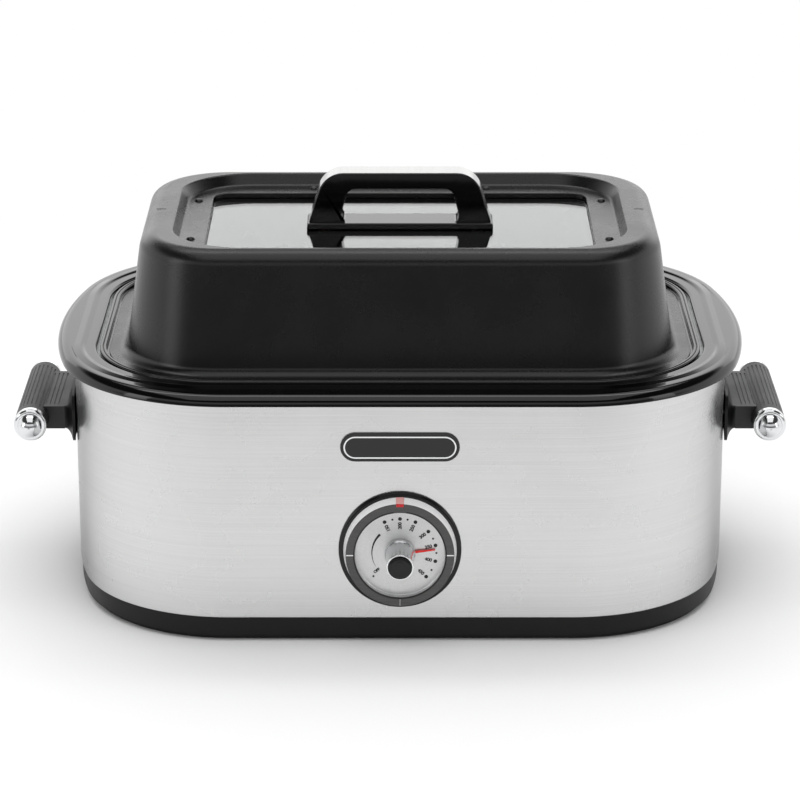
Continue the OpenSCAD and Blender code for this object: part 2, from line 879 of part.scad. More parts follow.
module handle_caps_left() {
    color("#d9dadb") in_place() mirror([1, 0, 0]) side_caps();
}

module handle_screws() {
    color("#9a9c9e") in_place() both_sides() front_and_back()
        translate([handle_screw_x, handle_screw_y, handle_z]) rotate([0, 90, 0]) {
            translate([0, 0, -handle_head_h - seat_gap]) cylinder(r = handle_head_r, h = handle_head_h);
            translate([0, 0, -handle_head_h]) cylinder(
                r = handle_screw_r - 0.1,
                h = handle_head_h + body_w / 2 - handle_screw_x + handle_screw_l
            );
        }
}

module knob_shaft() {
    color("#b9bbbd") in_place() on_front(0, dial_z) difference() {
        translate([0, 0, -shell_t - bracket_t - thermo_d / 2 + 1])
            cylinder(r = shaft_d / 2, h = knob_reach - 6 + thermo_d / 2);
        translate([-5, shaft_d / 2 - 1, face_y]) cube([10, 5, 40]);
    }
}

module knob_hub() {
    back = face_y + knob_gap;
    color("#c4c6c8") in_place() on_front(0, dial_z) difference() {
        rotate_extrude() polygon([
            [0, back], [skirt_d / 2, back], [skirt_d / 2, back + 3], [collar_d / 2 + 0.4, back + 4.5],
            [collar_d / 2, back + 5.5], [collar_d / 2, back + 13], [collar_d / 2 - 0.8, back + 14],
            [0, back + 14]
        ]);
        difference() {
            translate([0, 0, back - 1]) cylinder(r = shaft_d / 2 + run_gap, h = 20);
            translate([-5, shaft_d / 2 - 1 + run_gap, back - 2]) cube([10, 5, 22]);
        }
    }
}

module knob_cap() {
    back = face_y + knob_gap + 14;
    color("#101010") in_place() on_front(0, dial_z) difference() {
        rotate_extrude() polygon(concat(
            [[0, back], [cap_d / 2, back]],
            arc(cap_d / 2 - 2, knob_reach - 2, 2, 0, 90, 6),
            [[0, knob_reach]]
        ));
        translate([0, 0, back - 1]) cylinder(r = shaft_d / 2 + run_gap, h = knob_reach - 5 - back);
    }
}

module knob_needle() {
    back = face_y + knob_gap;
    color("#c42a22") in_place() on_front(0, dial_z) rotate(-needle_angle)
        translate([0, 0, back + 0.4]) linear_extrude(0.8) polygon([
            [-1, skirt_d / 2 + 0.05], [1, skirt_d / 2 + 0.05], [0.4, needle_l], [-0.4, needle_l]
        ]);
}

module roasting_pan() {
    low_z = pan_rest_z - pan_depth;
    mid_r = (bead_out_r + bead_in_r) / 2;
    round_r = bead_w / 4;
    color("#1a1a1b") in_place() {
        sweep_rounded(well_cx, well_cy) {
            translate([pan_wall_r - pan_t, pan_rest_z])
                square([bead_in_r - pan_wall_r + 2 * pan_t, pan_t]);
            polygon(concat(
                [[bead_in_r, pan_rest_z], [bead_out_r, pan_rest_z]],
                arc(mid_r + round_r, pan_rest_z + bead_h - round_r, round_r, 0, 150, 6),
                arc(mid_r - round_r, pan_rest_z + bead_h - round_r, round_r, 30, 180, 6)
            ));
            polygon(tub_section(pan_wall_r, pan_rest_z + pan_t, low_z, pan_fillet, pan_t, pan_taper));
        }
        translate([-well_cx, -well_cy, low_z]) cube([2 * well_cx, 2 * well_cy, pan_t]);
    }
}

// Straight wire of the rack between two points
module wire(a, b, d) {
    v = b - a;
    l = norm(v);
    translate(a) rotate([0, acos(v[2] / l), atan2(v[1], v[0])]) cylinder(d = d, h = l);
}

module roasting_rack() {
    pan_floor = pan_rest_z - pan_depth + pan_t;
    shrink = pan_depth * tan(pan_taper);
    frame_r = pan_wall_r - pan_t - shrink - rack_gap - rack_wire;
    top = pan_floor + rack_h;
    half_x = well_cx + frame_r;
    half_y = well_cy + frame_r;
    pitch = 2 * (well_cx + 14) / (cross_count - 1);
    loop_w = 84;
    leg_in = frame_r - pan_foot_r + rack_wire / 2 + seat_gap;
    color("#c9cbcc") in_place() {
        sweep_rounded(well_cx, well_cy) translate([frame_r, top]) circle(d = rack_wire);
        for (i = [0:cross_count - 1]) {
            x = -(well_cx + 14) + i * pitch;
            translate([x, 0, top]) rotate([90, 0, 0])
                cylinder(d = cross_wire, h = 2 * half_y, center = true);
        }
        both_sides() front_and_back()
            translate([well_cx + 14 - 2 * pitch, half_y - leg_in, pan_floor])
                cylinder(d = rack_wire, h = top - pan_floor);
        both_sides() {
            front_and_back() translate([half_x, loop_w / 2, top]) cylinder(d = rack_wire, h = loop_h);
            translate([half_x, 0, top + loop_h]) rotate([90, 0, 0])
                cylinder(d = rack_wire, h = loop_w + rack_wire, center = true);
        }
    }
}

module lid_shell() {
    z0 = lid_rest_z;
    fillet_z = z0 + lid_t + brim_fillet;
    edge_z = lid_top_z - lid_edge_r;
    color("#151515") in_place() difference() {
        union() {
            sweep_rounded(well_cx, well_cy) polygon(concat(
                [[brim_out_r, z0], [brim_out_r, z0 + lid_t]],
                arc(brim_in_r, fillet_z, brim_fillet, -90, -180 + lid_taper),
                arc(lid_edge_cr, edge_z, lid_edge_r, lid_taper, 90),
                [[lid_edge_cr - 1, lid_top_z], [lid_edge_cr - 1, lid_top_z - lid_t]],
                arc(lid_edge_cr, edge_z, lid_edge_r - lid_t, 90, lid_taper),
                arc(brim_in_r, fillet_z, brim_fillet + lid_t, -180 + lid_taper, -90)
            ));
            translate([0, 0, lid_top_z - lid_t]) linear_extrude(lid_t) difference() {
                rounded(well_cx, well_cy, lid_edge_cr);
                rounded(recess_cx, recess_cy, recess_r + 1);
            }
            recess_wall();
            translate([0, 0, recess_z - lid_t]) linear_extrude(lid_t) difference() {
                rounded(recess_cx, recess_cy, recess_r - recess_slope - 2);
                rounded(window_cx, window_cy, window_r);
            }
            sweep_rounded(window_cx, window_cy)
                translate([window_r, lip_low_z]) square([lid_t, window_lip]);
        }
        both_sides()
            translate([well_cx + lid_edge_cr - steam_l + 4, -steam_w / 2, lid_top_z - 2 * lid_t])
                cube([steam_l, steam_w, 4 * lid_t]);
        at_rivets() translate([0, 0, recess_z - 2 * lid_t])
            cylinder(r = rivet_r + 0.05, h = 3 * lid_t);
    }
}

// Sloping wall from the lid's border down to the recess's floor
module recess_wall() {
    slope = atan2(recess_depth - 3, recess_slope - 3);
    foot = recess_r - recess_slope;
    sweep_rounded(recess_cx, recess_cy) polygon(concat(
        [[recess_r + 2, lid_top_z]],
        arc(recess_r + 0.6, lid_top_z - 2, 2, 90, 90 + slope, 4),
        arc(foot - 0.6, recess_z + 3, 3, -90 + slope, -90, 4),
        [[foot - 3, recess_z], [foot - 3, recess_z - lid_t]],
        arc(foot - 0.6, recess_z + 3, 3 + lid_t, -90, -90 + slope, 4),
        arc(recess_r + 0.6, lid_top_z - 2, 2 - lid_t, 90 + slope, 90, 4),
        [[recess_r + 2, lid_top_z - lid_t]]
    ));
}

// Places of the rivets that hold the window frame
module at_rivets() {
    both_sides() front_and_back() {
        translate([window_cx + window_r + rivet_out, rivet_side_y, 0]) children();
        translate([rivet_front_x, window_cy + window_r + rivet_out + 2, 0]) children();
    }
}

module lid_window() {
    color("#c9d2d4", 0.4) in_place() difference() {
        translate([0, 0, glass_low_z]) linear_extrude(glass_t)
            rounded(window_cx, window_cy, window_r + glass_lap);
        at_grip_screws() translate([0, 0, glass_low_z - 1]) cylinder(r = 3, h = glass_t + 2);
    }
}

module window_gasket() {
    in_r = window_r + lid_t + seat_gap;
    color("#0c0c0c") in_place() sweep_rounded(window_cx, window_cy)
        translate([in_r, glass_top_z])
            square([window_r + glass_lap - in_r, recess_z - lid_t - glass_top_z]);
}

module window_frame() {
    up_r = window_r + glass_lap + seat_gap;
    low = glass_low_z - lid_t;
    top = recess_z - lid_t;
    color("#3a3b3c") in_place() difference() {
        sweep_rounded(window_cx, window_cy) polygon([
            [window_r + 3, low], [up_r + lid_t, low], [up_r + lid_t, top - lid_t],
            [frame_out_r, top - lid_t], [frame_out_r, top], [up_r, top],
            [up_r, glass_low_z], [window_r + 3, glass_low_z]
        ]);
        at_rivets() translate([0, 0, top - 2 * lid_t])
            cylinder(r = rivet_r + 0.05, h = 3 * lid_t);
    }
}

module lid_rivets() {
    low = recess_z - 2 * lid_t;
    color("#2c2c2d") in_place() at_rivets() rotate_extrude() polygon(concat(
        [[0, low - 1], [2.6, low - 1], [2.6, low], [rivet_r, low], [rivet_r, recess_z]],
        [[2.9, recess_z], [2.5, recess_z + 0.9], [1.5, recess_z + 1.5], [0, recess_z + 1.7]]
    ));
}

// Outline of the lid handle from the front, moved in by inset
module grip_outline(inset = 0) {
    k = grip_corner_r;
    offset(r = k - inset) offset(delta = -k) polygon([
        [-grip_base_w / 2 - k, -2 * k],
        [grip_base_w / 2 + k, -2 * k],
        [grip_base_w / 2, 0],
        [grip_top_w / 2, grip_h],
        [-grip_top_w / 2, grip_h],
        [-grip_base_w / 2, 0]
    ]);
}

// Finger gap of the lid handle from the front
module grip_gap() {
    offset(r = 8) offset(delta = -8) polygon([
        [-gap_base_w / 2, foot_bar_h - 6],
        [gap_base_w / 2, foot_bar_h - 6],
        [gap_top_w / 2, grip_h - grip_bar],
        [-gap_top_w / 2, grip_h - grip_bar]
    ]);
}

// Puts a shape seen from the front into the lid handle's place, d deep
module grip_place(d) {
    translate([0, d / 2, glass_top_z]) rotate([90, 0, 0]) linear_extrude(d) children();
}

module at_grip_screws() {
    both_sides() translate([grip_screw_x, 0, 0]) children();
}

// Part of the lid handle that the metal strip covers
module strip_zone() {
    translate([-grip_base_w, 14]) square([2 * grip_base_w, grip_h]);
}

module lid_handle() {
    color("#0f0f10") in_place() difference() {
        union() {
            grip_place(grip_depth) difference() {
                intersection() {
                    grip_outline();
                    translate([-grip_base_w, 0]) square([2 * grip_base_w, 2 * grip_h]);
                }
                grip_gap();
                difference() {
                    intersection() {
                        grip_outline();
                        strip_zone();
                    }
                    grip_outline(strip_t);
                }
            }
            translate([-grip_base_w / 2, -foot_bar_d / 2, glass_top_z])
                cube([grip_base_w, foot_bar_d, foot_bar_h]);
        }
        at_grip_screws() translate([0, 0, glass_top_z - 1]) cylinder(r = grip_screw_r, h = grip_screw_l + 2);
    }
}

module lid_handle_strip() {
    color("#e3e4e5") in_place() grip_place(grip_depth - 2) difference() {
        intersection() {
            grip_outline();
            strip_zone();
        }
        grip_outline(strip_t);
    }
}

module lid_handle_screws() {
    low = glass_low_z - washer_t;
    color("#a7a9ab") in_place() at_grip_screws() {
        difference() {
            translate([0, 0, low - grip_head_h]) cylinder(r = grip_head_r, h = grip_head_h);
            translate([0, 0, low - grip_head_h])
                cube([1.4 * grip_head_r, 1, grip_head_h], center = true);
        }
        translate([0, 0, low])
            cylinder(r = grip_screw_r - 0.1, h = washer_t + glass_t + grip_screw_l);
    }
}

module lid_handle_washers() {
    color("#8b3f2c") in_place() at_grip_screws() translate([0, 0, glass_low_z - washer_t])
        difference() {
            cylinder(r = washer_r, h = washer_t);
            translate([0, 0, -washer_t]) cylinder(r = grip_screw_r + 0.1, h = 3 * washer_t);
        }
}

outer_shell();
base_tray();
feet();
base_screws();
top_rim();
cook_well();
insulation();
heating_band();
band_terminals();
thermostat();
thermostat_bracket();
bushing_nut();
pilot_lamp();
pilot_lens();
dial_bezel();
dial_ring();
dial_face();
badge_plate();
badge_border();
cord_gland();
terminal_block();
handle_grip_left();
handle_grip_right();
handle_flange_left();
handle_flange_right();
handle_caps_left();
handle_caps_right();
handle_screws();
knob_shaft();
knob_hub();
knob_cap();
knob_needle();
roasting_pan();
roasting_rack();
lid_shell();
lid_window();
window_gasket();
window_frame();
lid_rivets();
lid_handle();
lid_handle_strip();
lid_handle_screws();
lid_handle_washers();
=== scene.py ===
# %% [markdown]
# # A countertop roaster oven
# This lesson dresses a finished CAD model of a roaster oven: a bowed steel body under a black
# enamelled rim, a domed lid with a glass window, a removable pan and a dial thermostat.
# The CAD model is loaded as a fixed frame, in metres, with +Z up and the dial facing -Y.
# Pieces whose shape the CAD already gets right only need a finish. Pieces with glossy round edges
# are modelled again here, because a gloss finish shows every flat facet.

# %% Load the frame
import bpy, bmesh, math
from mathutils import Matrix, Vector


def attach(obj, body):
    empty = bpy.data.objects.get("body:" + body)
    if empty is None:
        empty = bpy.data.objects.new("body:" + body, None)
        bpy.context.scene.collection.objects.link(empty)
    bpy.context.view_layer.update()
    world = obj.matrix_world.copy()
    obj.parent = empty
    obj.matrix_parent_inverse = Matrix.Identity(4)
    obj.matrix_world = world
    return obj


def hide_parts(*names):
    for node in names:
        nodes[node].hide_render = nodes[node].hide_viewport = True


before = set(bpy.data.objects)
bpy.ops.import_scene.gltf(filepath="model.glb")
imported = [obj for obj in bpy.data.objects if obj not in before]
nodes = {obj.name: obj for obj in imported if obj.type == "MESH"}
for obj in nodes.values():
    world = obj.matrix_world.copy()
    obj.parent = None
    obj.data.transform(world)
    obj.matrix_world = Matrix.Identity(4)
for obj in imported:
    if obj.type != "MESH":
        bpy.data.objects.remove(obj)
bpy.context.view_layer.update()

MM = 0.001

# %% [markdown]
# ## Camera
# The camera comes first, because every later choice is judged through it. A long lens from a
# little above shows the lid's top and the front wall together and keeps the sides nearly parallel.
# A lens this long has to stand well back, so the distance is far larger than the oven.

# %% Place the camera
SET_BACK = 14               # mm; the body's middle lies this far behind the frame's origin
LENS_MM = 150.12
LOOK_DOWN = math.radians(18.6)
AIM = Vector((0, SET_BACK, 136.9)) * MM
DISTANCE = 2.75             # metres

camera_data = bpy.data.cameras.new("camera")
camera_data.lens = LENS_MM
camera_data.sensor_width = 36
camera_data.clip_end = 50
camera = bpy.data.objects.new("camera", camera_data)
camera.rotation_euler = (math.pi / 2 - LOOK_DOWN, 0, 0)
camera.location = AIM + DISTANCE * Vector((0, -math.cos(LOOK_DOWN), math.sin(LOOK_DOWN)))
bpy.context.scene.collection.objects.link(camera)
bpy.context.scene.camera = camera
bpy.context.scene.view_settings.view_transform = "Standard"
print("camera at", tuple(round(c, 3) for c in camera.location))

# %% [markdown]
# ## Helpers for materials
# A material is a small graph of nodes. One function adds a node, sets its properties and either
# fills or links its sockets, so that each material below reads as a list of what it is made of.
# Colours are written as sRGB hex codes, as on a paint chart, and turned to linear light once.

# %% Colour and node helpers
def linear(code):
    """Turns a hex code like #f4f4f2 into linear light with full opacity."""
    parts = [int(code[i:i + 2], 16) / 255 for i in (1, 3, 5)]
    return tuple(c / 12.92 if c <= 0.04045 else ((c + 0.055) / 1.055) ** 2.4 for c in parts) + (1,)


def add(tree, kind, sockets=None, stops=(), **settings):
    """Adds a node. A socket is filled with a value or linked; stops are a ramp's colours."""
    node = tree.nodes.new("ShaderNode" + kind)
    for name, value in settings.items():
        setattr(node, name, value)
    for name, value in (sockets or {}).items():
        if isinstance(value, bpy.types.NodeSocket):
            tree.links.new(value, node.inputs[name])
        else:
            node.inputs[name].default_value = value
    for i, (place, colour) in enumerate(stops):
        stop = node.color_ramp.elements[i] if i < 2 else node.color_ramp.elements.new(place)
        stop.position = place
        stop.color = linear(colour)
    return node


def new_material(name):
    material = bpy.data.materials.new(name)
    material.use_nodes = True
    material.node_tree.nodes.clear()
    return material, material.node_tree


print("white paper in linear light:", [round(c, 3) for c in linear("#f4f4f2")])

# %% [markdown]
# ## Stage and light
# The oven stands on a plain white floor in a white room. A product photographer hangs large
# softboxes round such an object, because steel and gloss black show nothing but what surrounds
# them: a box behind makes the flat black rim and the glass shine, a wide one overhead lights the
# lid, a narrow strip under it draws the bright line along the rim's roll, and two low ones put
# soft bands on the steel's corners.
# The floor is ordinary white paint near the oven, so that it takes the shadow, and it turns to an
# even glow further out, so that no horizon shows. A studio is dim behind the camera, and that is
# what keeps black walls black: gloss sees the floor and room in front of the oven nearly dark.

# %% Build the white floor
FLOOR_HALF = 6.0
SHADOW_REACH = (0.5, 1.15)      # metres from the middle: plain paint inside, even glow outside
DIM_FLOOR = (-1.6, -0.9)        # metres along Y: dim in front of the first, bright from the second
IN_FRONT = 0.16                 # what gloss mirrors of the dim floor and room behind the camera


def seen_directly(tree):
    """Two sockets: 1 for rays of the eye, of gloss or through glass, and 1 for the eye's alone."""
    rays = add(tree, "LightPath")
    eye_or_gloss = add(tree, "Math", {0: rays.outputs["Is Camera Ray"],
                                      1: rays.outputs["Is Glossy Ray"]}, operation="MAXIMUM")
    seen = add(tree, "Math", {0: eye_or_gloss.outputs[0],
                              1: rays.outputs["Is Transmission Ray"]}, operation="MAXIMUM")
    return seen.outputs[0], rays.outputs["Is Camera Ray"]


bm = bmesh.new()
bmesh.ops.create_grid(bm, x_segments=2, y_segments=2, size=FLOOR_HALF)
floor_mesh = bpy.data.meshes.new("floor")
bm.to_mesh(floor_mesh)
bm.free()
floor = bpy.data.objects.new("floor", floor_mesh)
bpy.context.scene.collection.objects.link(floor)

paint, tree = new_material("floor_white_paint")
place = add(tree, "TexCoord")
away = add(tree, "VectorMath", {0: place.outputs["Object"]}, operation="LENGTH")
fade = add(tree, "MapRange", {"Value": away.outputs["Value"], "From Min": SHADOW_REACH[0],
                              "From Max": SHADOW_REACH[1]}, interpolation_type="SMOOTHSTEP")
seen, camera_ray = seen_directly(tree)
share = add(tree, "Math", {0: seen, 1: fade.outputs["Result"]}, operation="MULTIPLY")
matt = add(tree, "BsdfDiffuse", {"Color": linear("#f6f6f6")})
spot_on_floor = add(tree, "SeparateXYZ", {0: place.outputs["Object"]})
near = add(tree, "MapRange", {"Value": spot_on_floor.outputs["Y"], "From Min": DIM_FLOOR[0],
                              "From Max": DIM_FLOOR[1], "To Min": IN_FRONT, "To Max": 1.0})
strength = add(tree, "Math", {0: near.outputs["Result"], 1: camera_ray}, operation="MAXIMUM")
glow = add(tree, "Emission", {"Color": (1, 1, 1, 1), "Strength": strength.outputs[0]})
mix = add(tree, "MixShader", {0: share.outputs[0], 1: matt.outputs[0], 2: glow.outputs[0]})
add(tree, "OutputMaterial", {"Surface": mix.outputs[0]})
floor_mesh.materials.append(paint)
print("floor", 2 * FLOOR_HALF, "m wide")

# %% Light the room
ROOM_LIGHT = 0.64               # strength of the room's own light on plain surfaces
BACKDROP_TOP = (0.40, 0.56)     # how high the white backdrop reaches, as the sine of the look-up
CEILING = 0.05                  # what gloss mirrors above the backdrop, between the softboxes
FRONT_LIGHT = 0.85              # the room in front, higher up, where the overhead box lights it
FRONT_RISE = (0.08, 0.3)        # between which heights it brightens, as sines of the look-up
FRONT_TURN = (-0.45, 0.05)      # how far front and back blend, as the ray's share along Y

world = bpy.data.worlds.new("white_room")
bpy.context.scene.world = world
world.use_nodes = True
tree = world.node_tree
tree.nodes.clear()
seen, camera_ray = seen_directly(tree)
# gloss shows the white backdrop only behind and only as high as it hangs, and a dim room elsewhere
ray_way = add(tree, "TexCoord")
way = add(tree, "SeparateXYZ", {0: ray_way.outputs["Generated"]})
fall = add(tree, "MapRange", {"Value": way.outputs["Z"], "From Min": BACKDROP_TOP[0],
                              "From Max": BACKDROP_TOP[1], "To Min": 1.0, "To Max": CEILING},
           interpolation_type="SMOOTHSTEP")
rise = add(tree, "MapRange", {"Value": way.outputs["Z"], "From Min": FRONT_RISE[0],
                              "From Max": FRONT_RISE[1], "To Min": IN_FRONT,
                              "To Max": FRONT_LIGHT})
depth = add(tree, "MapRange", {"Value": way.outputs["Y"], "From Min": FRONT_TURN[0],
                               "From Max": FRONT_TURN[1], "To Min": rise.outputs["Result"],
                               "To Max": 1.0}, interpolation_type="SMOOTHSTEP")
dim = add(tree, "Math", {0: fall.outputs["Result"], 1: depth.outputs["Result"]},
          operation="MULTIPLY")
mirrored = add(tree, "Math", {0: dim.outputs[0], 1: camera_ray}, operation="MAXIMUM")
level = add(tree, "MapRange", {"Value": seen, "To Min": ROOM_LIGHT,
                               "To Max": mirrored.outputs[0]})
room = add(tree, "Background", {"Color": (1, 1, 1, 1), "Strength": level.outputs["Result"]})
add(tree, "OutputWorld", {"Surface": room.outputs[0]})


def softbox(name, place, aim, width, height, brightness):
    """An area lamp; brightness is what a mirror would show of it, where 1 is white."""
    lamp = bpy.data.lights.new(name, "AREA")
    lamp.shape = "RECTANGLE"
    lamp.size, lamp.size_y = width, height
    lamp.energy = brightness * math.pi * width * height
    box = bpy.data.objects.new(name, lamp)
    box.location = place
    box.rotation_euler = (Vector(aim) - Vector(place)).to_track_quat("-Z", "Y").to_euler()
    bpy.context.scene.collection.objects.link(box)
    print(name, round(lamp.energy, 1), "W")


softbox("box_behind", (0, 2.6, 1.05), (0, 0, 0.2), 4.4, 1.2, 0.62)
softbox("box_above", (0, 0.2, 3.0), (0, 0.2, 0.2), 3.2, 5.4, 1.04)
softbox("strip_above", (0, 0.7, 2.8), (0, 0.2, 0.2), 3.2, 0.5, 2.2)
softbox("box_left", (-1.9, -1.0, 0.6), (0, 0, 0.12), 0.6, 1.1, 2.0)
softbox("box_right", (1.9, -1.0, 0.6), (0, 0, 0.12), 0.6, 1.1, 1.6)

# %% [markdown]
# ## Metal finishes
# Metal has no colour of its own laid on it: it is a tinted mirror, and its finish decides how
# blurred the mirror is. Rolled sheet steel keeps fine lines along the rolling direction, so its
# highlights stretch across them. The lines are noise that a Mapping node squashes to thin strokes;
# real ones are about 0.1 mm apart, drawn near 0.6 mm so that they can show at all.
# One function serves rolled, plated and turned metal, because they differ only in tint, roughness
# and which way the lines run.

# %% Make the metals
def metal(name, tint, line_tint, rough, squash=(8, 8, 700), relief=0.0, cloud=22.0,
          edge="#ffffff"):
    """squash is how often the line pattern repeats in a metre along x, y and z.

    edge is the tint of what the metal mirrors when it is seen nearly edge-on.
    """
    material, tree = new_material(name)
    place = add(tree, "TexCoord").outputs["Object"]
    thin = add(tree, "Mapping", {"Vector": place, "Scale": squash})
    lines = add(tree, "TexNoise", {"Vector": thin.outputs[0], "Scale": 1.0, "Detail": 4.0,
                                   "Roughness": 0.65})
    tone = add(tree, "ValToRGB", {0: lines.outputs[0]}, stops=((0.3, line_tint), (0.62, tint)))
    wear = add(tree, "TexNoise", {"Vector": place, "Scale": cloud, "Detail": 5.0})
    haze = add(tree, "MapRange", {"Value": wear.outputs[0], "From Min": 0.35, "From Max": 0.65,
                                  "To Min": rough * 0.94, "To Max": rough * 1.06})
    bump = add(tree, "Bump", {"Height": lines.outputs[0], "Strength": relief, "Distance": 0.0002})
    shader = add(tree, "BsdfPrincipled", {
        "Base Color": tone.outputs[0], "Metallic": 1.0, "Roughness": haze.outputs[0],
        "Specular Tint": linear(edge), "Normal": bump.outputs[0]})
    add(tree, "OutputMaterial", {"Surface": shader.outputs[0]})
    return material


# Satin-brushed stainless sheet: the lines run level round the wall, the sheen stays soft. Its
# mirror is tinted grey when seen nearly edge-on: painted shade that draws the body's outline
# a little darker
steel = metal("stainless_brushed", "#d9d9d9", "#d0d0d0", 0.27, squash=(5, 5, 1500), relief=0.12,
              edge="#c6c6c6")
# Chromium plate on the bar's end caps: nearly a mirror, a trace of polishing haze
chrome = metal("chrome_plated", "#e8e9ea", "#e0e1e3", 0.11, squash=(60, 60, 60), cloud=60)
# Zinc-plated screws and bracket: dull, a little blue, blotchy
zinc = metal("zinc_plated_steel", "#b9bcc0", "#9fa3a9", 0.34, squash=(300, 300, 300), relief=0.2)
# Aluminium of the dial ring's front, brushed in one direction
ring_grey = metal("aluminium_brushed_dark", "#5c5b5b", "#515050", 0.34, squash=(40, 40, 2400),
                  relief=0.2)
# Spun aluminised steel of the heated well: greyer and duller than stainless, with faint spangle
aluminised = metal("aluminised_steel", "#aeb0b0", "#9a9c9d", 0.42, squash=(90, 90, 90), relief=0.25)
# Nickel-plated wire of the rack
nickel = metal("nickel_plated_wire", "#d4d3cf", "#c2c1bd", 0.16, squash=(120, 120, 120), cloud=60)
# Polished stainless strip on the lid's handle
strip_steel = metal("stainless_polished", "#b6b6b5", "#afafae", 0.20, squash=(600, 20, 20))
# The dial's face: anodised aluminium, fine-blasted so that it glows evenly
face_metal = metal("aluminium_satin_anodised", "#dadada", "#d0d0d0", 0.42, squash=(900, 900, 900),
                   relief=0.15)
# Bright plated collar of the knob
knob_chrome = metal("chrome_satin_knob", "#f0f1f2", "#e6e8ea", 0.24, squash=(80, 900, 80),
                    cloud=60)
# Brass tabs of the heater
brass = metal("brass_strip", "#d0ad62", "#b8944a", 0.25, squash=(200, 200, 900), relief=0.1)
print("metals:", len(bpy.data.materials) - 1)

# %% [markdown]
# ## Paint, enamel and moulded plastic
# These are all a coloured body under a clear gloss, with an index of refraction near 1.5, or a
# little less where the surface is dull and mirrors weakly. Porcelain enamel is glass fused to
# steel: deep and glossy, with a slow ripple called orange peel. Sprayed high-heat paint has a fine
# sand-like grain, about 0.4 mm from bump to bump. Moulded plastic is duller and takes fine scuffs
# where hands touch it. One function covers them, with a grain for the texture and a broad ripple
# for the unevenness of the coat.

# %% Make the coatings and plastics
def coating(name, dark, light, rough, grain=2500.0, relief=0.1, depth=0.0001, ripple=18.0,
            uneven=0.15, index=1.5):
    """A body colour between dark and light, under a gloss of the given roughness and index.

    grain is the fine texture's frequency in a metre, relief and depth say how rough it feels,
    and ripple and uneven say how broadly and how much the coat's gloss changes.
    """
    material, tree = new_material(name)
    place = add(tree, "TexCoord").outputs["Object"]
    fine = add(tree, "TexNoise", {"Vector": place, "Scale": grain, "Detail": 2.0})
    broad = add(tree, "TexNoise", {"Vector": place, "Scale": ripple, "Detail": 6.0,
                                   "Roughness": 0.6})
    tone = add(tree, "ValToRGB", {0: broad.outputs[0]}, stops=((0.35, dark), (0.68, light)))
    sheen = add(tree, "MapRange", {"Value": broad.outputs[0], "From Min": 0.3, "From Max": 0.7,
                                   "To Min": rough * (1 - uneven), "To Max": rough * (1 + uneven)})
    bump = add(tree, "Bump", {"Height": fine.outputs[0], "Strength": relief, "Distance": depth})
    shader = add(tree, "BsdfPrincipled", {
        "Base Color": tone.outputs[0], "Roughness": sheen.outputs[0], "IOR": index,
        "Normal": bump.outputs[0]})
    add(tree, "OutputMaterial", {"Surface": shader.outputs[0]})
    return material


# Porcelain enamel on the rim: glass-smooth, with a slow ripple left from the firing
rim_enamel = coating("porcelain_enamel_black", "#020202", "#040404", 0.09, grain=140, relief=0.05,
                     depth=0.0004)
# Speckle-free black enamel of the pan, a little duller from use
pan_enamel = coating("porcelain_enamel_pan", "#050505", "#090909", 0.15, grain=220, relief=0.06,
                     depth=0.0003)
# Sprayed high-heat paint on the lid: satin, with a fine sandy grain
lid_paint = coating("high_heat_paint_satin", "#060606", "#0b0b0b", 0.27, grain=1300, relief=0.3,
                    depth=0.0003)
# Phenolic resin of the lid's handle, pressed in a polished mould
phenolic = coating("phenolic_polished", "#040404", "#070707", 0.12, grain=500, relief=0.03)
# Polypropylene base with a light satin finish, and the dial's polished bezel
base_plastic = coating("polypropylene_satin", "#050505", "#080808", 0.42, grain=2600,
                       relief=0.25, index=1.36)
bezel_plastic = coating("abs_polished_black", "#030303", "#060606", 0.16, grain=900, relief=0.03,
                        index=1.42)
# Charcoal phenolic of the ribbed side bars, dulled by handling, and a far darker black for their
# feet
grip_plastic = coating("phenolic_ribbed_charcoal", "#202022", "#2a2a2c", 0.45, grain=1800,
                       relief=0.2, index=1.45)
flange_plastic = coating("phenolic_flange_black", "#040404", "#070707", 0.45, grain=1800,
                         relief=0.12, index=1.38)
# Satin black cap of the knob, bare black badge plate, dark frame under the lid
knob_plastic = coating("abs_satin_black", "#040404", "#070707", 0.24, grain=2200, relief=0.12,
                       index=1.42)
badge_black = coating("aluminium_lacquered_black", "#040404", "#070707", 0.14, grain=900,
                      relief=0.02)
frame_paint = coating("high_heat_paint_frame", "#121213", "#19191a", 0.34, grain=1300, relief=0.3,
                      depth=0.0003)
rivet_paint = coating("blackened_steel", "#060606", "#0c0c0c", 0.2, grain=900, relief=0.1)
# Rubber, silicone, ceramic, wool and glass cloth
rubber = coating("rubber_black", "#1b1b1b", "#232323", 0.7, grain=1500, relief=0.25)
silicone = coating("silicone_black", "#0c0c0c", "#141414", 0.48, grain=1200, relief=0.12,
                   index=1.41)
red_silicone = coating("silicone_red_brown", "#7b3424", "#8f412e", 0.5, grain=1200, relief=0.12,
                       index=1.41)
ceramic = coating("steatite_ceramic", "#ded9cb", "#ebe7db", 0.45, grain=900, relief=0.1)
wool = coating("mineral_wool", "#b9ac7c", "#dccf9e", 0.95, grain=420, relief=1.0, depth=0.003,
               ripple=90)
cloth = coating("glass_cloth_tape", "#8a8068", "#a89e82", 0.85, grain=900, relief=0.8, depth=0.0006,
                ripple=200)
# The dial's printing; the same black also paints the shade in the dial's seam and the steam vents
ink_and_painted_shade = coating("screen_ink_and_painted_shade_black", "#040404", "#080808", 0.45, grain=3000, relief=0.05)
# The dial ring's steep side: even white, a painted reflection of the light its bright metal mirrors
ring_painted_reflection = coating("white_ring_painted_reflection", "#fafafa", "#fdfdfd", 0.3, grain=900, relief=0.03)
# The ring's light ticks and the red needle
tick_paint = coating("enamel_white", "#e6e6e6", "#f0f0f0", 0.4, grain=3000, relief=0.05)
red_paint = coating("enamel_red", "#d5120f", "#e01a15", 0.25, grain=900, relief=0.03)
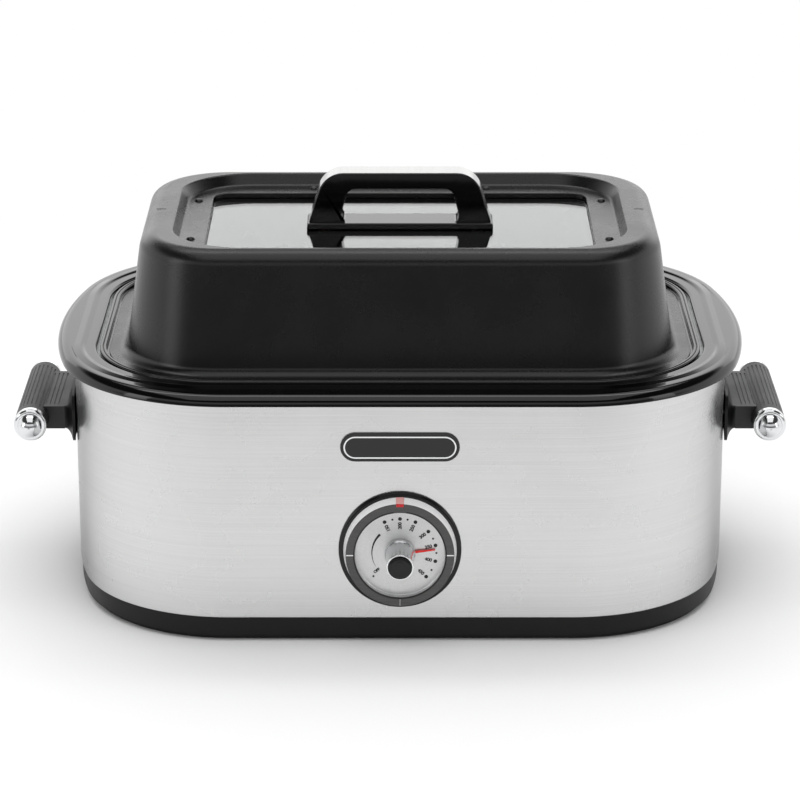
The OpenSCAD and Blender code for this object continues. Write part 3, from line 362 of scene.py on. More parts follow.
# Milky acrylic over the lamp, painted pale pink for the glow of light entering it from above,
# and the dyed red at its front end
lens_painted_glow = coating("acrylic_pink_painted_glow", "#f0a8a6", "#f4b6b2", 0.15, grain=700, relief=0.03)
lens_red = coating("acrylic_deep_red", "#b00512", "#c20a18", 0.12, grain=700, relief=0.03)
print("metals and coatings:", len(bpy.data.materials) - 1)

# %% [markdown]
# ## Clear and coloured glass
# Tempered soda-lime glass is nearly colourless with a faint green-grey cast, so the window only
# needs transmission and a very smooth surface; the look comes from what it mirrors and what lies
# under it. The lamp's small bulb is clear too, with an orange tint.

# %% Make the clear materials
def clear_material(name, tint, rough):
    material, tree = new_material(name)
    place = add(tree, "TexCoord").outputs["Object"]
    smear = add(tree, "TexNoise", {"Vector": place, "Scale": 60.0, "Detail": 4.0})
    # a trace of unevenness, as fingerprints leave it
    haze = add(tree, "MapRange", {"Value": smear.outputs[0], "From Min": 0.4, "From Max": 0.7,
                                  "To Min": rough, "To Max": rough * 1.6})
    shader = add(tree, "BsdfPrincipled", {
        "Base Color": linear(tint), "Roughness": haze.outputs[0], "IOR": 1.5,
        "Transmission Weight": 1.0})
    add(tree, "OutputMaterial", {"Surface": shader.outputs[0]})
    return material


window_glass = clear_material("glass_tempered", "#e8edec", 0.015)
lamp_glass = clear_material("glass_neon_lamp", "#f0b48c", 0.08)
print("materials in all:", len(bpy.data.materials))

# %% [markdown]
# ## Sweeping a section round the oven
# The shell, rim, pan and lid are all pressed or rolled sheet with one section that runs round the
# oven. So each is modelled as the toolmaker draws it: a short chain of points for the section,
# its corners rounded by a vertex bevel, carried along a quarter of the path and mirrored twice.
# Straight stretches are extruded and corners are spun about the corner's own centre.
# There are two kinds of path. The body has straight front and back walls, 76 degree corners and
# gently bowed side walls. The well, pan, lid and window are plain rounded rectangles.

# %% The two kinds of path, in mm
# A path is where the section starts, then its steps: a run says how far it is pushed, and a turn
# says the centre, the angle in degrees and the number of steps it is spun by.
BODY_PATH = (64.5, [("run", (134.08, 0)), ("turn", (134.08, -64.5), 76, 30),
                    ("turn", (-124.61, 0), 14, 10)])


def rounded_path(cx, cy):
    """A quarter of a rounded rectangle whose corner has its centre at cx, cy from the middle."""
    return cy, [("run", (cx, 0)), ("turn", (cx, -cy), 90, 32), ("run", (0, cy))]


print("the body's corners turn by", sum(s[2] for s in BODY_PATH[1] if s[0] == "turn"), "degrees")

# %% Helpers for swept sheet
SAME_PLACE = 2e-6       # metres within which two points are one


def only(geom, kind):
    """Picks the vertices or the edges out of what an operator returns."""
    return [g for g in geom if isinstance(g, kind)]


def with_ends(edges):
    """A list of edges together with the vertices at their ends, as a spin wants it."""
    return list(dict.fromkeys(v for e in edges for v in e.verts)) + edges


def push(bm, geom, offset):
    """Moves the vertices among geom by an offset in mm and returns them."""
    verts = only(geom, bmesh.types.BMVert)
    bmesh.ops.translate(bm, verts=verts, vec=Vector(offset) * MM)
    return verts


def chain(bm, points, place, closed=False, segments=6):
    """Joins points by edges. A third number in a point rounds that corner to that radius."""
    spots = [Vector(place(p[0], p[1])) * MM for p in points]
    verts = [bm.verts.new(s) for s in spots]
    pairs = list(zip(verts, verts[1:])) + ([(verts[-1], verts[0])] if closed else [])
    before = set(bm.edges)
    for a, b in pairs:
        bm.edges.new((a, b))
    for i, point in enumerate(points):
        if len(point) == 3:
            turn = (spots[i] - spots[i - 1]).angle(spots[(i + 1) % len(spots)] - spots[i])
            bmesh.ops.bevel(bm, geom=[verts[i]], offset=point[2] * MM * math.tan(turn / 2),
                            offset_type="OFFSET", affect="VERTICES", segments=segments,
                            profile=0.5, material=-1)
    return [e for e in bm.edges if e not in before]


def sweep(bm, points, path, closed=False, segments=6):
    """Carries a section of (distance from the corner's centre, height) round the whole path."""
    start, steps = path
    old = set(bm.verts)
    edges = chain(bm, points, lambda r, z: (0, -start - r, z), closed, segments)
    for kind, where, *turn in steps:
        if kind == "run":
            new = bmesh.ops.extrude_edge_only(bm, edges=edges)["geom"]
            moved = set(push(bm, new, (*where, 0)))
            edges = [e for e in only(new, bmesh.types.BMEdge)
                     if e.verts[0] in moved and e.verts[1] in moved]
        else:
            last = bmesh.ops.spin(bm, geom=with_ends(edges), cent=Vector((*where, 0)) * MM,
                                  axis=(0, 0, 1), angle=math.radians(turn[0]), steps=turn[1],
                                  use_duplicate=False)["geom_last"]
            edges = only(last, bmesh.types.BMEdge)
    for axis in "XY":
        new = [v for v in bm.verts if v not in old]
        swept = set(new)
        geom = new + [part for part in (*bm.edges, *bm.faces) if part.verts[0] in swept]
        bmesh.ops.mirror(bm, geom=geom, axis=axis, merge_dist=SAME_PLACE)


def open_edges(bm, z):
    """The open edges that lie level at one height."""
    return [e for e in bm.edges if e.is_boundary
            and all(abs(v.co.z - z * MM) < SAME_PLACE for v in e.verts)]


def bridge(bm, z):
    """Closes the flat sheet between the two open edges that lie at one height."""
    bmesh.ops.bridge_loops(bm, edges=open_edges(bm, z))


def close(bm, z):
    """Closes the flat middle inside the open edge at one height."""
    bmesh.ops.contextual_create(bm, geom=open_edges(bm, z))


# %% [markdown]
# ## From a mesh to a piece
# Every mesh is finished in the same way. Doubled points along the seams are merged, the normals
# are made to face outwards, the piece gets its material and is hung on the body that carries it,
# and the CAD nodes it stands for are hidden. Its normals are weighted by area, so that flat faces
# look flat right up to their rounded edges.

# %% A helper that finishes a piece
def make_piece(bm, name, material, body="body", stands_for=(), sharp=32):
    """Cleans a mesh, puts it in the frame, hangs it on its body and hides the CAD nodes it stands
    for.

    Edges that turn by more than sharp degrees stay crisp, all others are shaded smooth.
    """
    bmesh.ops.remove_doubles(bm, verts=bm.verts, dist=SAME_PLACE)
    bmesh.ops.recalc_face_normals(bm, faces=bm.faces)
    push(bm, bm.verts, (0, SET_BACK, 0))
    mesh = bpy.data.meshes.new(name)
    bm.to_mesh(mesh)
    bm.free()
    mesh.shade_smooth()
    mesh.set_sharp_from_angle(angle=math.radians(sharp))
    mesh.materials.append(material)
    piece = bpy.data.objects.new(name, mesh)
    bpy.context.scene.collection.objects.link(piece)
    weighted = piece.modifiers.new("flat_faces_stay_flat", "WEIGHTED_NORMAL")
    weighted.keep_sharp = True
    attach(piece, body)
    if stands_for:
        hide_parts(*stands_for)
    low, high = ([round(pick(v.co[i] for v in mesh.vertices) / MM, 1) for i in range(3)]
                 for pick in (min, max))
    print(name, len(mesh.polygons), "faces, from", low, "to", high, "mm")


# %% [markdown]
# ## The steel body
# The body is one long sheet rolled round and folded in at the top and bottom. The fold is what
# makes its lower edge round, so the section gets a small radius there.
# A separate front panel would be easier to model, but the real sheet has no seams at its corners.

# %% Roll the steel body
bm = bmesh.new()
sweep(bm, [(103, 20), (123, 20, 1.4), (123, 201.6), (122.3, 201.6), (122.3, 200.9), (103, 200.9),
           (103, 200.2), (122.3, 200.2), (122.3, 20.7), (103, 20.7)], BODY_PATH, closed=True)
make_piece(bm, "shell_sheet", steel, stands_for=["outer_shell"])

# %% [markdown]
# ## The enamelled rim
# The rim is a pressed ring: it rolls over the steel's top edge outside, has a low stiffening ridge
# round the well and turns down into it. Its inner edge follows the well's path and its outer edge
# the body's, so it is two sweeps with a flat sheet bridged between them, above and below.

# %% Press the rim
WELL = (142, 64.5)              # the corners' centre
bm = bmesh.new()
sweep(bm, [(127, 206.8), (136, 206.8, 8.2), (136, 198.5, 0.1), (133.6, 198.5), (133.6, 203.4, 4),
           (127, 203.4)], BODY_PATH, segments=12)
sweep(bm, [(119, 206.8), (118, 206.8, 4), (112, 207.9, 5), (109, 206.7, 5), (100, 206.7, 2.2),
           (100, 201.6), (102, 201.6), (102, 203.4), (119, 203.4)], rounded_path(*WELL), segments=8)
bridge(bm, 206.8)
bridge(bm, 203.4)
make_piece(bm, "rim_enamelled", rim_enamel, stands_for=["top_rim"])

# %% [markdown]
# ## The roasting pan
# The pan is deep-drawn steel in black enamel. Its edge is rolled back on itself, which shows as a
# fine groove along the bead, and the lid's brim rests just inside that bead.
# The inside and outside are one section, closed across the floor at both ends.

# %% Draw the pan
bm = bmesh.new()
sweep(bm, [(48, 47.5), (73.69, 47.5, 25.1), (79.1, 202.5, 1.5), (92, 202.5, 0.5), (92, 206.4, 1.3),
           (94.2, 206.4, 0.6), (94.75, 205.2, 0.2), (95.3, 206.4, 0.6), (97.5, 206.4, 1.3),
           (97.5, 201.6, 0.8), (80, 201.6, 1.5), (74.56, 46.6, 26), (48, 46.6)],
      rounded_path(*WELL))
close(bm, 47.5)
close(bm, 46.6)
make_piece(bm, "pan_enamelled", pan_enamel, "pan", ["roasting_pan"])

# %% [markdown]
# ## The lid
# The lid is a deep pressing: brim, hollow curve, sloping wall, round shoulder, then a sunk floor
# with the window's opening turned down in its middle. Shoulder, recess and window are three
# rounded rectangles with different centres, so they are three sweeps joined by flat sheet.

# %% Press the lid
RECESS, WINDOW = (121.06, 53.56), (140.06, 68.56)
bm = bmesh.new()
sweep(bm, [(51, 300), (62.49, 300, 13), (76.05, 203.5, 8), (90, 203.5, 0.4), (90, 202.5, 0.4),
           (75.18, 202.5, 9), (61.62, 299, 12), (51, 299)], rounded_path(*WELL), segments=10)
sweep(bm, [(61.2, 300), (59.53, 300, 2), (53.53, 291, 3), (50, 291)], rounded_path(*RECESS))
sweep(bm, [(61.2, 299), (60.07, 299, 1), (54.07, 290, 4), (50, 290)], rounded_path(*RECESS))
sweep(bm, [(18, 291), (14, 291, 1), (14, 287, 0.3), (15, 287), (15, 290), (18, 290)],
      rounded_path(*WINDOW), segments=4)
for height in (300, 299, 291, 290):
    bridge(bm, height)
make_piece(bm, "lid_pressing", lid_paint, "lid", ["lid_shell"])

# %% [markdown]
# ## The window glass
# A plate of tempered glass, ground round its edge. It has real thickness, because glass without
# thickness bends no light and mirrors only once.

# %% Cut the glass
bm = bmesh.new()
sweep(bm, [(19, 286.7), (20, 286.7, 0.6), (20, 282.7, 0.6), (19, 282.7)], rounded_path(*WINDOW),
      segments=3)
close(bm, 286.7)
close(bm, 282.7)
make_piece(bm, "window_pane", window_glass, "lid", ["lid_window"])

# %% [markdown]
# ## The lid's handle
# The handle is an arch moulded in one with a foot bar. Seen from the front it is a tapered frame
# with round corners, so its outline and the finger gap are drawn as two closed chains, joined,
# pushed back through the handle's depth and softened along every edge by a bevel.
# The foot bar is a low box with the same soft edges.

# %% Helpers for pieces cut from a front view
def soften(bm, edges, radius, steps):
    """Rounds edges with a bevel of the given radius in mm."""
    bmesh.ops.bevel(bm, geom=edges, offset=radius * MM, offset_type="OFFSET", affect="EDGES",
                    segments=steps, profile=0.5, material=-1, clamp_overlap=True)


def slab(bm, chains, depth, soft, base, middle=0.0, steps=4):
    """Cuts closed front-view outlines out of a slab that is depth thick, with softened edges."""
    for points in chains:
        chain(bm, points, lambda x, z: (x, middle - depth / 2, z + base), closed=True, segments=8)
    wires = [e for e in bm.edges if e.is_wire]
    if len(chains) == 1:
        front = bmesh.ops.contextual_create(bm, geom=wires)["faces"]
    else:
        front = bmesh.ops.bridge_loops(bm, edges=wires)["faces"]
    back = bmesh.ops.extrude_face_region(bm, geom=front, use_keep_orig=True)["geom"]
    push(bm, back, (0, depth, 0))
    bmesh.ops.recalc_face_normals(bm, faces=bm.faces)
    # only the edges between a face that looks along Y and a side wall are softened
    rims = [e for e in bm.edges if len(e.link_faces) == 2
            and sum(abs(f.normal.y) > 0.9 for f in e.link_faces) == 1]
    soften(bm, rims, soft, steps)


# %% Mould the lid's handle
GRIP_FOOT = 286.7                   # the height on which the handle stands
FOOT_HALF, ARCH_HALF = 75, 61       # half its width at the foot and at the top
ARCH_TOP = 46                       # the strip's top; the moulding ends a hair below it
OUTLINE = [(-FOOT_HALF, 0), (FOOT_HALF, 0), (ARCH_HALF, ARCH_TOP - 0.05, 20),
           (-ARCH_HALF, ARCH_TOP - 0.05, 20)]
GAP = [(-48.8, 4.8, 6), (48.8, 4.8, 6), (42, 33, 8), (-42, 33, 8)]
bm = bmesh.new()
slab(bm, [OUTLINE, GAP], 24, 1.6, GRIP_FOOT)
foot = bmesh.new()
slab(foot, [[(-FOOT_HALF, 0), (FOOT_HALF, 0), (FOOT_HALF, 5.4, 2), (-FOOT_HALF, 5.4, 2)]], 32, 1.2,
     GRIP_FOOT)
joined = bpy.data.meshes.new("foot_bar")
foot.to_mesh(joined)
foot.free()
bm.from_mesh(joined)
make_piece(bm, "lid_grip", phenolic, "lid", ["lid_handle"])

# %% [markdown]
# ## The metal strip on the handle
# A polished strip covers the top of the arch and runs a little way down both legs. It follows the
# handle's own outline, so the same outline is used, cut off near the feet, given the strip's
# thickness inwards and a fine rounded edge that catches a light line.

# %% Bend the strip
STRIP_LOW, STRIP_WIDE, STRIP_T = 14, 22, 1.2
lean = (FOOT_HALF - ARCH_HALF) / ARCH_TOP
low_x = FOOT_HALF - lean * STRIP_LOW
bm = bmesh.new()
edges = chain(bm, [(-low_x, STRIP_LOW), (-ARCH_HALF, ARCH_TOP, 20), (ARCH_HALF, ARCH_TOP, 20),
                   (low_x, STRIP_LOW)],
              lambda x, z: (x, -STRIP_WIDE / 2, z + GRIP_FOOT), segments=14)
new = bmesh.ops.extrude_edge_only(bm, edges=edges)["geom"]
push(bm, new, (0, STRIP_WIDE, 0))
bmesh.ops.recalc_face_normals(bm, faces=bm.faces)
# the outside has to look up, because the thickness is added on the inside
if sum(f.normal.z for f in bm.faces) < 0:
    bmesh.ops.reverse_faces(bm, faces=bm.faces)
bmesh.ops.solidify(bm, geom=bm.faces[:], thickness=STRIP_T * MM)
bmesh.ops.recalc_face_normals(bm, faces=bm.faces)
rims = [e for e in bm.edges if len(e.link_faces) == 2 and e.calc_face_angle(0) > 1.2]
soften(bm, rims, 0.35, 2)
make_piece(bm, "grip_strip", strip_steel, "lid", ["lid_handle_strip"])

# %% [markdown]
# ## Rivets of the window frame
# Small domed heads. A spin of a half section gives a round head with a closed pole, which a scaled
# sphere would not: its equator would stand upright on the sheet instead of tucking in.

# %% Set the rivets
RIVETS = [(166.06, 57.56), (72.06, 96.56)]      # each with a twin in every quarter of the frame
bm = bmesh.new()
for x, y in RIVETS:
    for side in (1, -1):
        for end in (1, -1):
            head = chain(bm, [(0, 293.1), (2.3, 292.7, 1.6), (3.5, 291.3, 0.4), (3.5, 290.9)],
                         lambda r, z: (x * side + r, y * end, z), segments=3)
            bmesh.ops.spin(bm, geom=with_ends(head), cent=Vector((x * side, y * end, 0)) * MM,
                           axis=(0, 0, 1), angle=math.tau, steps=24, use_merge=True,
                           use_duplicate=False)
make_piece(bm, "rivet_heads", rivet_paint, "lid", ["lid_rivets"], sharp=50)

# %% [markdown]
# ## Steam vents
# A short slot in the lid's border at each end lets steam out. Seen from above it is only a black
# stroke of shade, so that shade is painted: a thin dark inlay with round ends instead of a cut
# through the pressing, which would break up its smooth flat.

# %% Paint the shade of the steam vents
VENT_ENDS, VENT_HALF, VENT_Z = (189.6, 196.4), 0.65, 300.03
bm = bmesh.new()
for side in (1, -1):
    ends = []
    for x in VENT_ENDS:
        centre = Matrix.Translation(Vector((x * side, 0, VENT_Z)) * MM)
        ends += bmesh.ops.create_circle(bm, segments=16, radius=VENT_HALF * MM,
                                        matrix=centre)["verts"]
    # a hull stretched round both circles leaves their inner halves over
    inside = bmesh.ops.convex_hull(bm, input=ends)["geom_interior"]
    bmesh.ops.delete(bm, geom=only(inside, bmesh.types.BMVert), context="VERTS")
# the black inlay is painted shade of the slot's dark inside
make_piece(bm, "steam_vents_painted_shade", ink_and_painted_shade, "lid")

# %% [markdown]
# ## The handles' flared feet
# Each side bar's web ends in a foot that flares out against the wall, so that the load spreads
# over the thin sheet. It is a moulding, and its flare is a soft hollow curve. So a rounded
# rectangle is drawn at several depths, wider and taller towards the wall, and the loops are
# bridged. The last loops follow the bowed wall instead of a flat plane.

# %% Mould the feet
BOW_X, BOW_R = -308.0, 573.1        # centre and radius of the bowed side wall
WEB_FACE = 272.0                    # where the bar's web begins
WEB_Z, WALL_RISE = 137.5, 1.0       # the web's middle, and how much higher the foot's lies
WEB_HALF, WALL_HALF = (46.0, 9.5), (60.0, 19.0)
WEB_ROUND, WALL_ROUND = 1.5, 11.0   # corner radii at the web and at the wall
FLARE_REACH = 0.97                  # how far along a quarter circle the hollow curve runs
SEAT_GAP, EDGE_T = 0.2, 2.2         # clearance to the wall, thickness of the foot's edge
LONG_STEPS, CORNER_STEPS, LOOPS = 10, 8, 8


def foot_loop(bm, side, depth):
    """A closed loop of edges; depth 0 is the web's end, 1 the edge's front, 2 the edge's back."""
    flare = 1 - math.sqrt(1 - (FLARE_REACH * min(depth, 1)) ** 2)
    flare /= 1 - math.sqrt(1 - FLARE_REACH ** 2)
    half_l, half_h = (a + (b - a) * flare for a, b in zip(WEB_HALF, WALL_HALF))
    radius = WEB_ROUND + (WALL_ROUND - WEB_ROUND) * flare
    spots = []
    for sy, sz, start in ((1, 1, 0), (-1, 1, 90), (-1, -1, 180), (1, -1, 270)):
        for i in range(CORNER_STEPS + 1):
            turn = math.radians(start + 90 * i / CORNER_STEPS)
            spots.append((sy * (half_l - radius) + radius * math.cos(turn),
                          sz * (half_h - radius) + radius * math.sin(turn)))
        if sy == sz:                # a long side follows: cut it up, because the wall is bowed
            near_y, long_z = spots[-1]
            spots += [(near_y - 2 * near_y * i / LONG_STEPS, long_z) for i in range(1, LONG_STEPS)]
    verts = []
    for y, z in spots:
        wall = BOW_X + math.sqrt(BOW_R ** 2 - y ** 2) + SEAT_GAP
        edge = wall + EDGE_T
        x = edge + (WEB_FACE - edge) * (1 - depth) if depth <= 1 else wall
        verts.append(bm.verts.new(Vector((side * x, y, WEB_Z + WALL_RISE * flare + z)) * MM))
    return [bm.edges.new(pair) for pair in zip(verts, verts[1:] + verts[:1])]


for side, node in ((1, "handle_flange_right"), (-1, "handle_flange_left")):
    bm = bmesh.new()
    loops = [foot_loop(bm, side, i / LOOPS) for i in range(LOOPS + 1)] + [foot_loop(bm, side, 2)]
    for one, other in zip(loops, loops[1:]):
        bmesh.ops.bridge_loops(bm, edges=one + other)
    bmesh.ops.contextual_create(bm, geom=loops[0])
    bmesh.ops.contextual_create(bm, geom=loops[-1])
    make_piece(bm, node.replace("handle", "foot"), flange_plastic,
               stands_for=[node])

# %% [markdown]
# ## The dial
# The dial is turned work: a low black bezel, a metal ring with a steep side and a flat brushed
# front, and a satin face sunk inside it. Each is a half section spun about the knob's axis, which
# points out of the front wall. Merging the spin's first and last step closes the seam.

# %% Turn the bezel and the ring
FRONT, DIAL_Z = 187.5, 77.8         # the front wall's distance, the knob axis's height


def turned(bm, points, segments=5, steps=96, closed=True, clock=0.0, sweep_angle=360.0):
    """Spins a section of (radius, distance out of the front wall) about the dial's axis.

    It starts clock degrees from the top; a spin short of 360 degrees gets a flat face at each end.
    """
    edges = chain(bm, points, lambda r, out: (0, -FRONT - out, DIAL_Z + r), closed, segments)
    geom = with_ends(edges)
    centre = Vector((0, -FRONT, DIAL_Z)) * MM
    bmesh.ops.rotate(bm, verts=only(geom, bmesh.types.BMVert), cent=centre,
                     matrix=Matrix.Rotation(math.radians(clock), 3, "Y"))
    whole = sweep_angle == 360
    last = bmesh.ops.spin(bm, geom=geom, axis=(0, 1, 0), angle=math.radians(sweep_angle),
                          steps=steps, use_merge=whole, use_duplicate=False,
                          cent=centre)["geom_last"]
    if not whole:
        for end in (edges, only(last, bmesh.types.BMEdge)):
            bmesh.ops.contextual_create(bm, geom=end)


bm = bmesh.new()
turned(bm, [(9, 0.1), (9, 3.4), (44.5, 3.4, 0.2), (45.4, 3.3, 0.2), (47.8, 3.3, 2.2), (47.8, 0.1)])
make_piece(bm, "dial_bezel_ring", bezel_plastic, stands_for=["dial_bezel"])

# The ring's steep side is painted white, a painted reflection of its bright metal; its brushed
# front is darker. Both are open at the top for the lens, LENS_HALF degrees to each side.
RING_SIDE, RING_OUT = 13.3, 13.9    # how far the bright side and the brushed front stand out
LENS_HALF = 4.1
REST = dict(clock=LENS_HALF, sweep_angle=360 - 2 * LENS_HALF)
bm = bmesh.new()
turned(bm, [(32, 3.4), (44, 3.4), (42.15, RING_SIDE), (36, RING_SIDE), (36, 7.2), (32, 7.2)],
       **REST)
make_piece(bm, "dial_metal_ring", ring_painted_reflection, stands_for=["dial_ring"], sharp=25)
bm = bmesh.new()
turned(bm, [(36.2, RING_SIDE), (42.15, RING_SIDE), (42, RING_OUT, 0.4), (36.2, RING_OUT)], **REST)
make_piece(bm, "dial_ring_front", ring_grey, sharp=25)

# a black ring in the seam between face and ring is painted shadow of that gap; it follows the
# ring's inner edge and stops short of the lens, SEAM_HALF to each side
SEAM_HALF = 8
bm = bmesh.new()
turned(bm, [(35.1, 12.9), (35.1, 13.93), (36.3, 13.93), (36.3, 12.9)], clock=SEAM_HALF,
       sweep_angle=360 - 2 * SEAM_HALF)
make_piece(bm, "dial_seam_painted_shadow", ink_and_painted_shade, sharp=25)

# %% [markdown]
# ## The lamp's lens
# The lens fills the slot at the top of the ring. Its long side is milky, and the pale pink
# glow that light entering it from above gives it is painted into its colour; only its front end
# looks deep red. A grey bridge below the red end carries the ring's front across the slot.

# %% Fit the lens
LENS_GAP = 0.15                     # degrees between the lens and the ring
LENS = dict(clock=LENS_GAP - LENS_HALF, sweep_angle=2 * (LENS_HALF - LENS_GAP), steps=8)
bm = bmesh.new()
turned(bm, [(36.2, 3.4), (44.2, 3.4), (42.3, 13.4), (36.2, 13.4)], **LENS)
make_piece(bm, "lens_milky", lens_painted_glow, stands_for=["pilot_lens"], sharp=20)
bm = bmesh.new()
turned(bm, [(39.9, 13.4), (42.3, 13.4), (42.1, 14.1, 0.4), (39.9, 14.1, 0.2)], **LENS)
make_piece(bm, "lens_end", lens_red, sharp=20)
bm = bmesh.new()
for r0, r1, half, steps in ((36.3, 39.9, LENS_HALF, 8), (35.1, 36.2, SEAM_HALF, 12)):
    turned(bm, [(r0, RING_SIDE), (r1, RING_SIDE), (r1, RING_OUT), (r0, RING_OUT)], clock=-half,
           sweep_angle=2 * half, steps=steps)
make_piece(bm, "dial_ring_bridge", ring_grey, sharp=20)

# %% [markdown]
# ## The dial's face
# The face is a shallow dish: flat in the middle, with a short wall that stands up inside the ring.

# %% Turn the face
FACE_OUT = 8.4
bm = bmesh.new()
turned(bm, [(9, 7.2), (9, FACE_OUT), (34.4, FACE_OUT), (35.1, 9.1), (35.1, 12.85), (35.9, 12.85),
            (35.9, 7.2)])
make_piece(bm, "dial_plate", face_metal, stands_for=["dial_face"])

# %% [markdown]
# ## The dial's printing
# The scale is screen-printed: dots, numbers of degrees and a tapered arc towards the off mark.
# Print has almost no thickness, so each mark is a thin inlay that stands 0.06 mm proud.
# Numbers read outwards along the dial's radius, as on the real face. Text is turned into a mesh
# first and placed afterwards, so that the finished object stays at the origin.

# %% Print the scale
PRINT_OUT, INK_T = FACE_OUT + 0.03, 0.03
STROKE = 0.2                        # how much the print swells each stroke
BIG_DOT, SMALL_DOT = 3.0, 1.7
DOT_R, NUMBER_R, OFF_R, ARC_R = 28.2, 22.6, 23.2, 21.8
NUMBER_HIGH, OFF_HIGH = 3.7, 3.0
# clock angles in degrees, not quite evenly spaced
SCALE = {"150": -25, "200": 0, "250": 25, "300": 51, "350": 77, "400": 104, "450": 134}
SMALL_DOTS = (-12, 12, 65, 90, 120, -133)
OFF_CLOCK, OFF_TURN = -129, 37      # this word reads inwards, so that it isn't upside down


def on_dial(radius, clock):
    """A place on the dial's face, clock degrees clockwise from the top."""
    turn = math.radians(clock)
    return Vector((radius * math.sin(turn), -FRONT - PRINT_OUT, DIAL_Z + radius * math.cos(turn)))


def spot(bm, radius, clock, size):
    """A round dot of the scale, size mm across."""
    made = bmesh.ops.create_circle(bm, cap_ends=True, cap_tris=False, segments=24,
                                   radius=size / 2 * MM)["verts"]
    bmesh.ops.rotate(bm, verts=made, cent=(0, 0, 0), matrix=Matrix.Rotation(math.pi / 2, 3, "X"))
    bmesh.ops.translate(bm, verts=made, vec=on_dial(radius, clock) * MM)


def number(bm, words, radius, clock, height, turn):
    """Sets words on the face with their middle at a radius, turned anticlockwise by turn."""
    curve = bpy.data.curves.new("scale_" + words.lower(), "FONT")
    curve.body = words
    curve.size = height * MM
    curve.align_x = "CENTER"
    curve.align_y = "CENTER"
    curve.offset = STROKE * MM
    shape = bpy.data.objects.new(curve.name, curve)
    bpy.context.scene.collection.objects.link(shape)
    bpy.context.view_layer.update()
    mesh = bpy.data.meshes.new_from_object(shape)
    mesh.transform(Matrix.Translation(on_dial(radius, clock) * MM)
                   @ Matrix.Rotation(-math.radians(turn), 4, "Y")
                   @ Matrix.Rotation(math.pi / 2, 4, "X"))
    bm.from_mesh(mesh)
    bpy.data.objects.remove(shape)
    bpy.data.curves.remove(curve)


bm = bmesh.new()
for clock in SMALL_DOTS:
    spot(bm, DOT_R, clock, SMALL_DOT)
for words, clock in SCALE.items():
    spot(bm, DOT_R, clock, BIG_DOT)
    number(bm, words, NUMBER_R, clock, NUMBER_HIGH, 90 - clock)
number(bm, "OFF", OFF_R, OFF_CLOCK, OFF_HIGH, OFF_TURN)
# the tapered arc: a strip of small steps that narrows towards the off mark
ARC_STEPS, ARC_FROM, ARC_TURN, ARC_WIDE, ARC_FINE = 20, -45, -75, 2.0, 0.2
shares = [i / ARC_STEPS for i in range(ARC_STEPS + 1)]
arc = [(ARC_FROM + ARC_TURN * s, ARC_WIDE + (ARC_FINE - ARC_WIDE) * s ** 0.8) for s in shares]
inner = [bm.verts.new(on_dial(ARC_R - w / 2, c) * MM) for c, w in arc]
outer = [bm.verts.new(on_dial(ARC_R + w / 2, c) * MM) for c, w in arc]
for i in range(ARC_STEPS):
    bm.faces.new((inner[i], inner[i + 1], outer[i + 1], outer[i]))
bmesh.ops.recalc_face_normals(bm, faces=bm.faces)
for f in bm.faces:
    if f.normal.y > 0:
        f.normal_flip()
raised = bmesh.ops.extrude_face_region(bm, geom=bm.faces[:], use_keep_orig=True)["geom"]
push(bm, raised, (0, -INK_T, 0))
make_piece(bm, "dial_scale_print", ink_and_painted_shade, sharp=20)

# %% [markdown]
# ## Ticks on the ring
# Fine light ticks mark the ring's front at the left, the right and the bottom. They are thin
# inlays too.

# %% Mark the ticks
TICK_R, TICK_LONG, TICK_T, TICK_OUT = 39, 5.4, 0.1, RING_OUT + 0.02
bm = bmesh.new()
for clock, width in ((90, 0.9), (-90, 0.9), (180, 0.2)):
    tick = bmesh.ops.create_cube(bm, size=1)["verts"]
    bmesh.ops.scale(bm, verts=tick, vec=Vector((TICK_LONG, TICK_T, width)) * MM)
    bmesh.ops.rotate(bm, verts=tick, cent=(0, 0, 0),
                     matrix=Matrix.Rotation(math.radians(clock - 90), 3, "Y"))
    push(bm, tick, on_dial(TICK_R, clock) - Vector((0, TICK_OUT - PRINT_OUT, 0)))
make_piece(bm, "ring_ticks", tick_paint)

# %% [markdown]
# ## The knob
# The knob has a skirt, a long bright barrel and a low black dome set into its front end. It rides
# on the knob's body, so it turns with the needle.

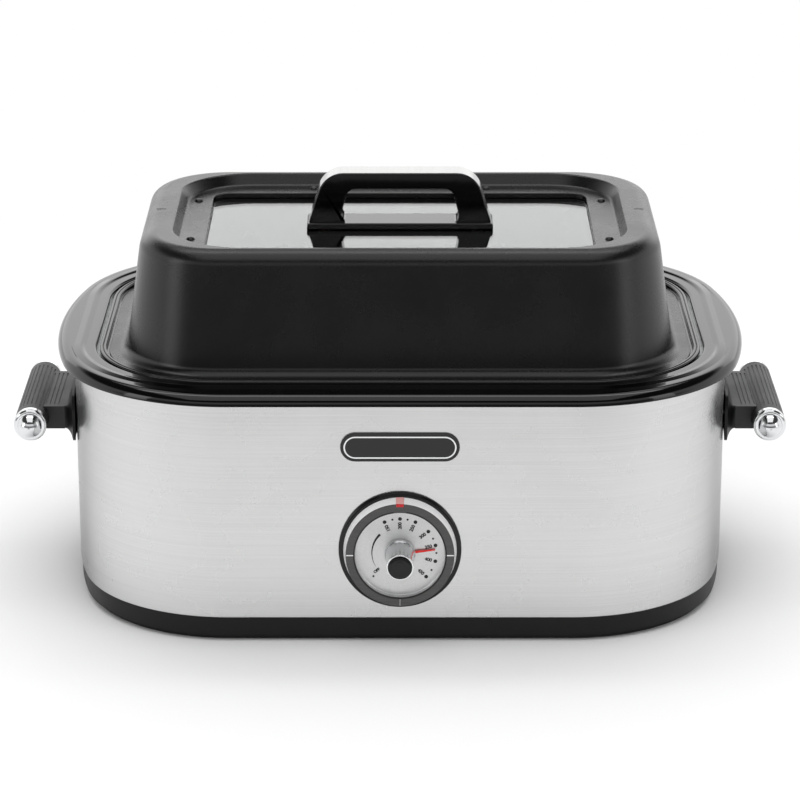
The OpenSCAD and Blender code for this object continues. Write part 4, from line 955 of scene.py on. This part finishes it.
# %% Turn the knob
bm = bmesh.new()
turned(bm, [(3.1, 9.2), (12, 9.2, 0.3), (12, 12.2, 1.0), (10.9, 13.7, 0.8), (10.5, 14.7, 0.3),
            (10.5, 39.6, 0.6), (9.4, 39.6, 0.2), (9.4, 38.6), (3.1, 38.6)], steps=64)
make_piece(bm, "knob_collar", knob_chrome, "knob", ["knob_hub"])
bm = bmesh.new()
turned(bm, [(0, 38.7), (9.35, 38.7), (9.35, 39.4, 0.5), (7.6, 40.5, 4), (4, 40.9, 8), (0, 41)],
       steps=64, closed=False)
make_piece(bm, "knob_button", knob_plastic, "knob", ["knob_cap"])

# %% [markdown]
# ## The badge plate
# A small lacquered plate with a bright line just inside its edge, left bare.

# %% Stamp the badge
BADGE_Z = 162
PLATE_T, LINE_T = 1.6, 0.4


def pill(width, height):
    """A rectangle whose short ends are half circles."""
    x, y, end = width / 2, height / 2, height / 2 - 0.01
    return [(-x, -y, end), (x, -y, end), (x, y, end), (-x, y, end)]


bm = bmesh.new()
slab(bm, [pill(92, 23)], PLATE_T, 0.5, BADGE_Z, middle=-FRONT - PLATE_T / 2, steps=3)
make_piece(bm, "badge_lacquered", badge_black, stands_for=["badge_plate"])
bm = bmesh.new()
slab(bm, [pill(87, 18), pill(84.6, 15.6)], LINE_T, 0.12, BADGE_Z,
     middle=-FRONT - PLATE_T - LINE_T / 2, steps=2)
make_piece(bm, "badge_bright_line", chrome, stands_for=["badge_border"])

# %% [markdown]
# ## Finishes for the CAD pieces
# The other CAD pieces already have the right shape, so each only takes its material. They are
# named here by what they are made of.

# %% Finish the CAD pieces
FINISHES = {
    base_plastic: ["base_tray"], rubber: ["feet", "cord_gland"],
    zinc: ["base_screws", "handle_screws", "thermostat_bracket", "bushing_nut", "knob_shaft",
           "lid_handle_screws"],
    aluminised: ["cook_well"], nickel: ["roasting_rack"], wool: ["insulation"],
    cloth: ["heating_band"], brass: ["band_terminals"], ceramic: ["thermostat", "terminal_block"],
    silicone: ["window_gasket"], frame_paint: ["window_frame"],
    red_silicone: ["lid_handle_washers"], lamp_glass: ["pilot_lamp"],
    grip_plastic: ["handle_grip_left", "handle_grip_right"],
    chrome: ["handle_caps_left", "handle_caps_right"],
    red_paint: ["knob_needle"],
}
for finish, names in FINISHES.items():
    for name in names:
        mesh = nodes[name].data
        mesh.materials.clear()
        mesh.materials.append(finish)
print("CAD pieces dressed:", sum(map(len, FINISHES.values())), "of", len(nodes))

# %% [markdown]
# ## Update the scene
# The dressed oven must fill the same box as the CAD model; this cell only brings the view layer
# up to date.

# %% Update the view layer
bpy.context.view_layer.update()
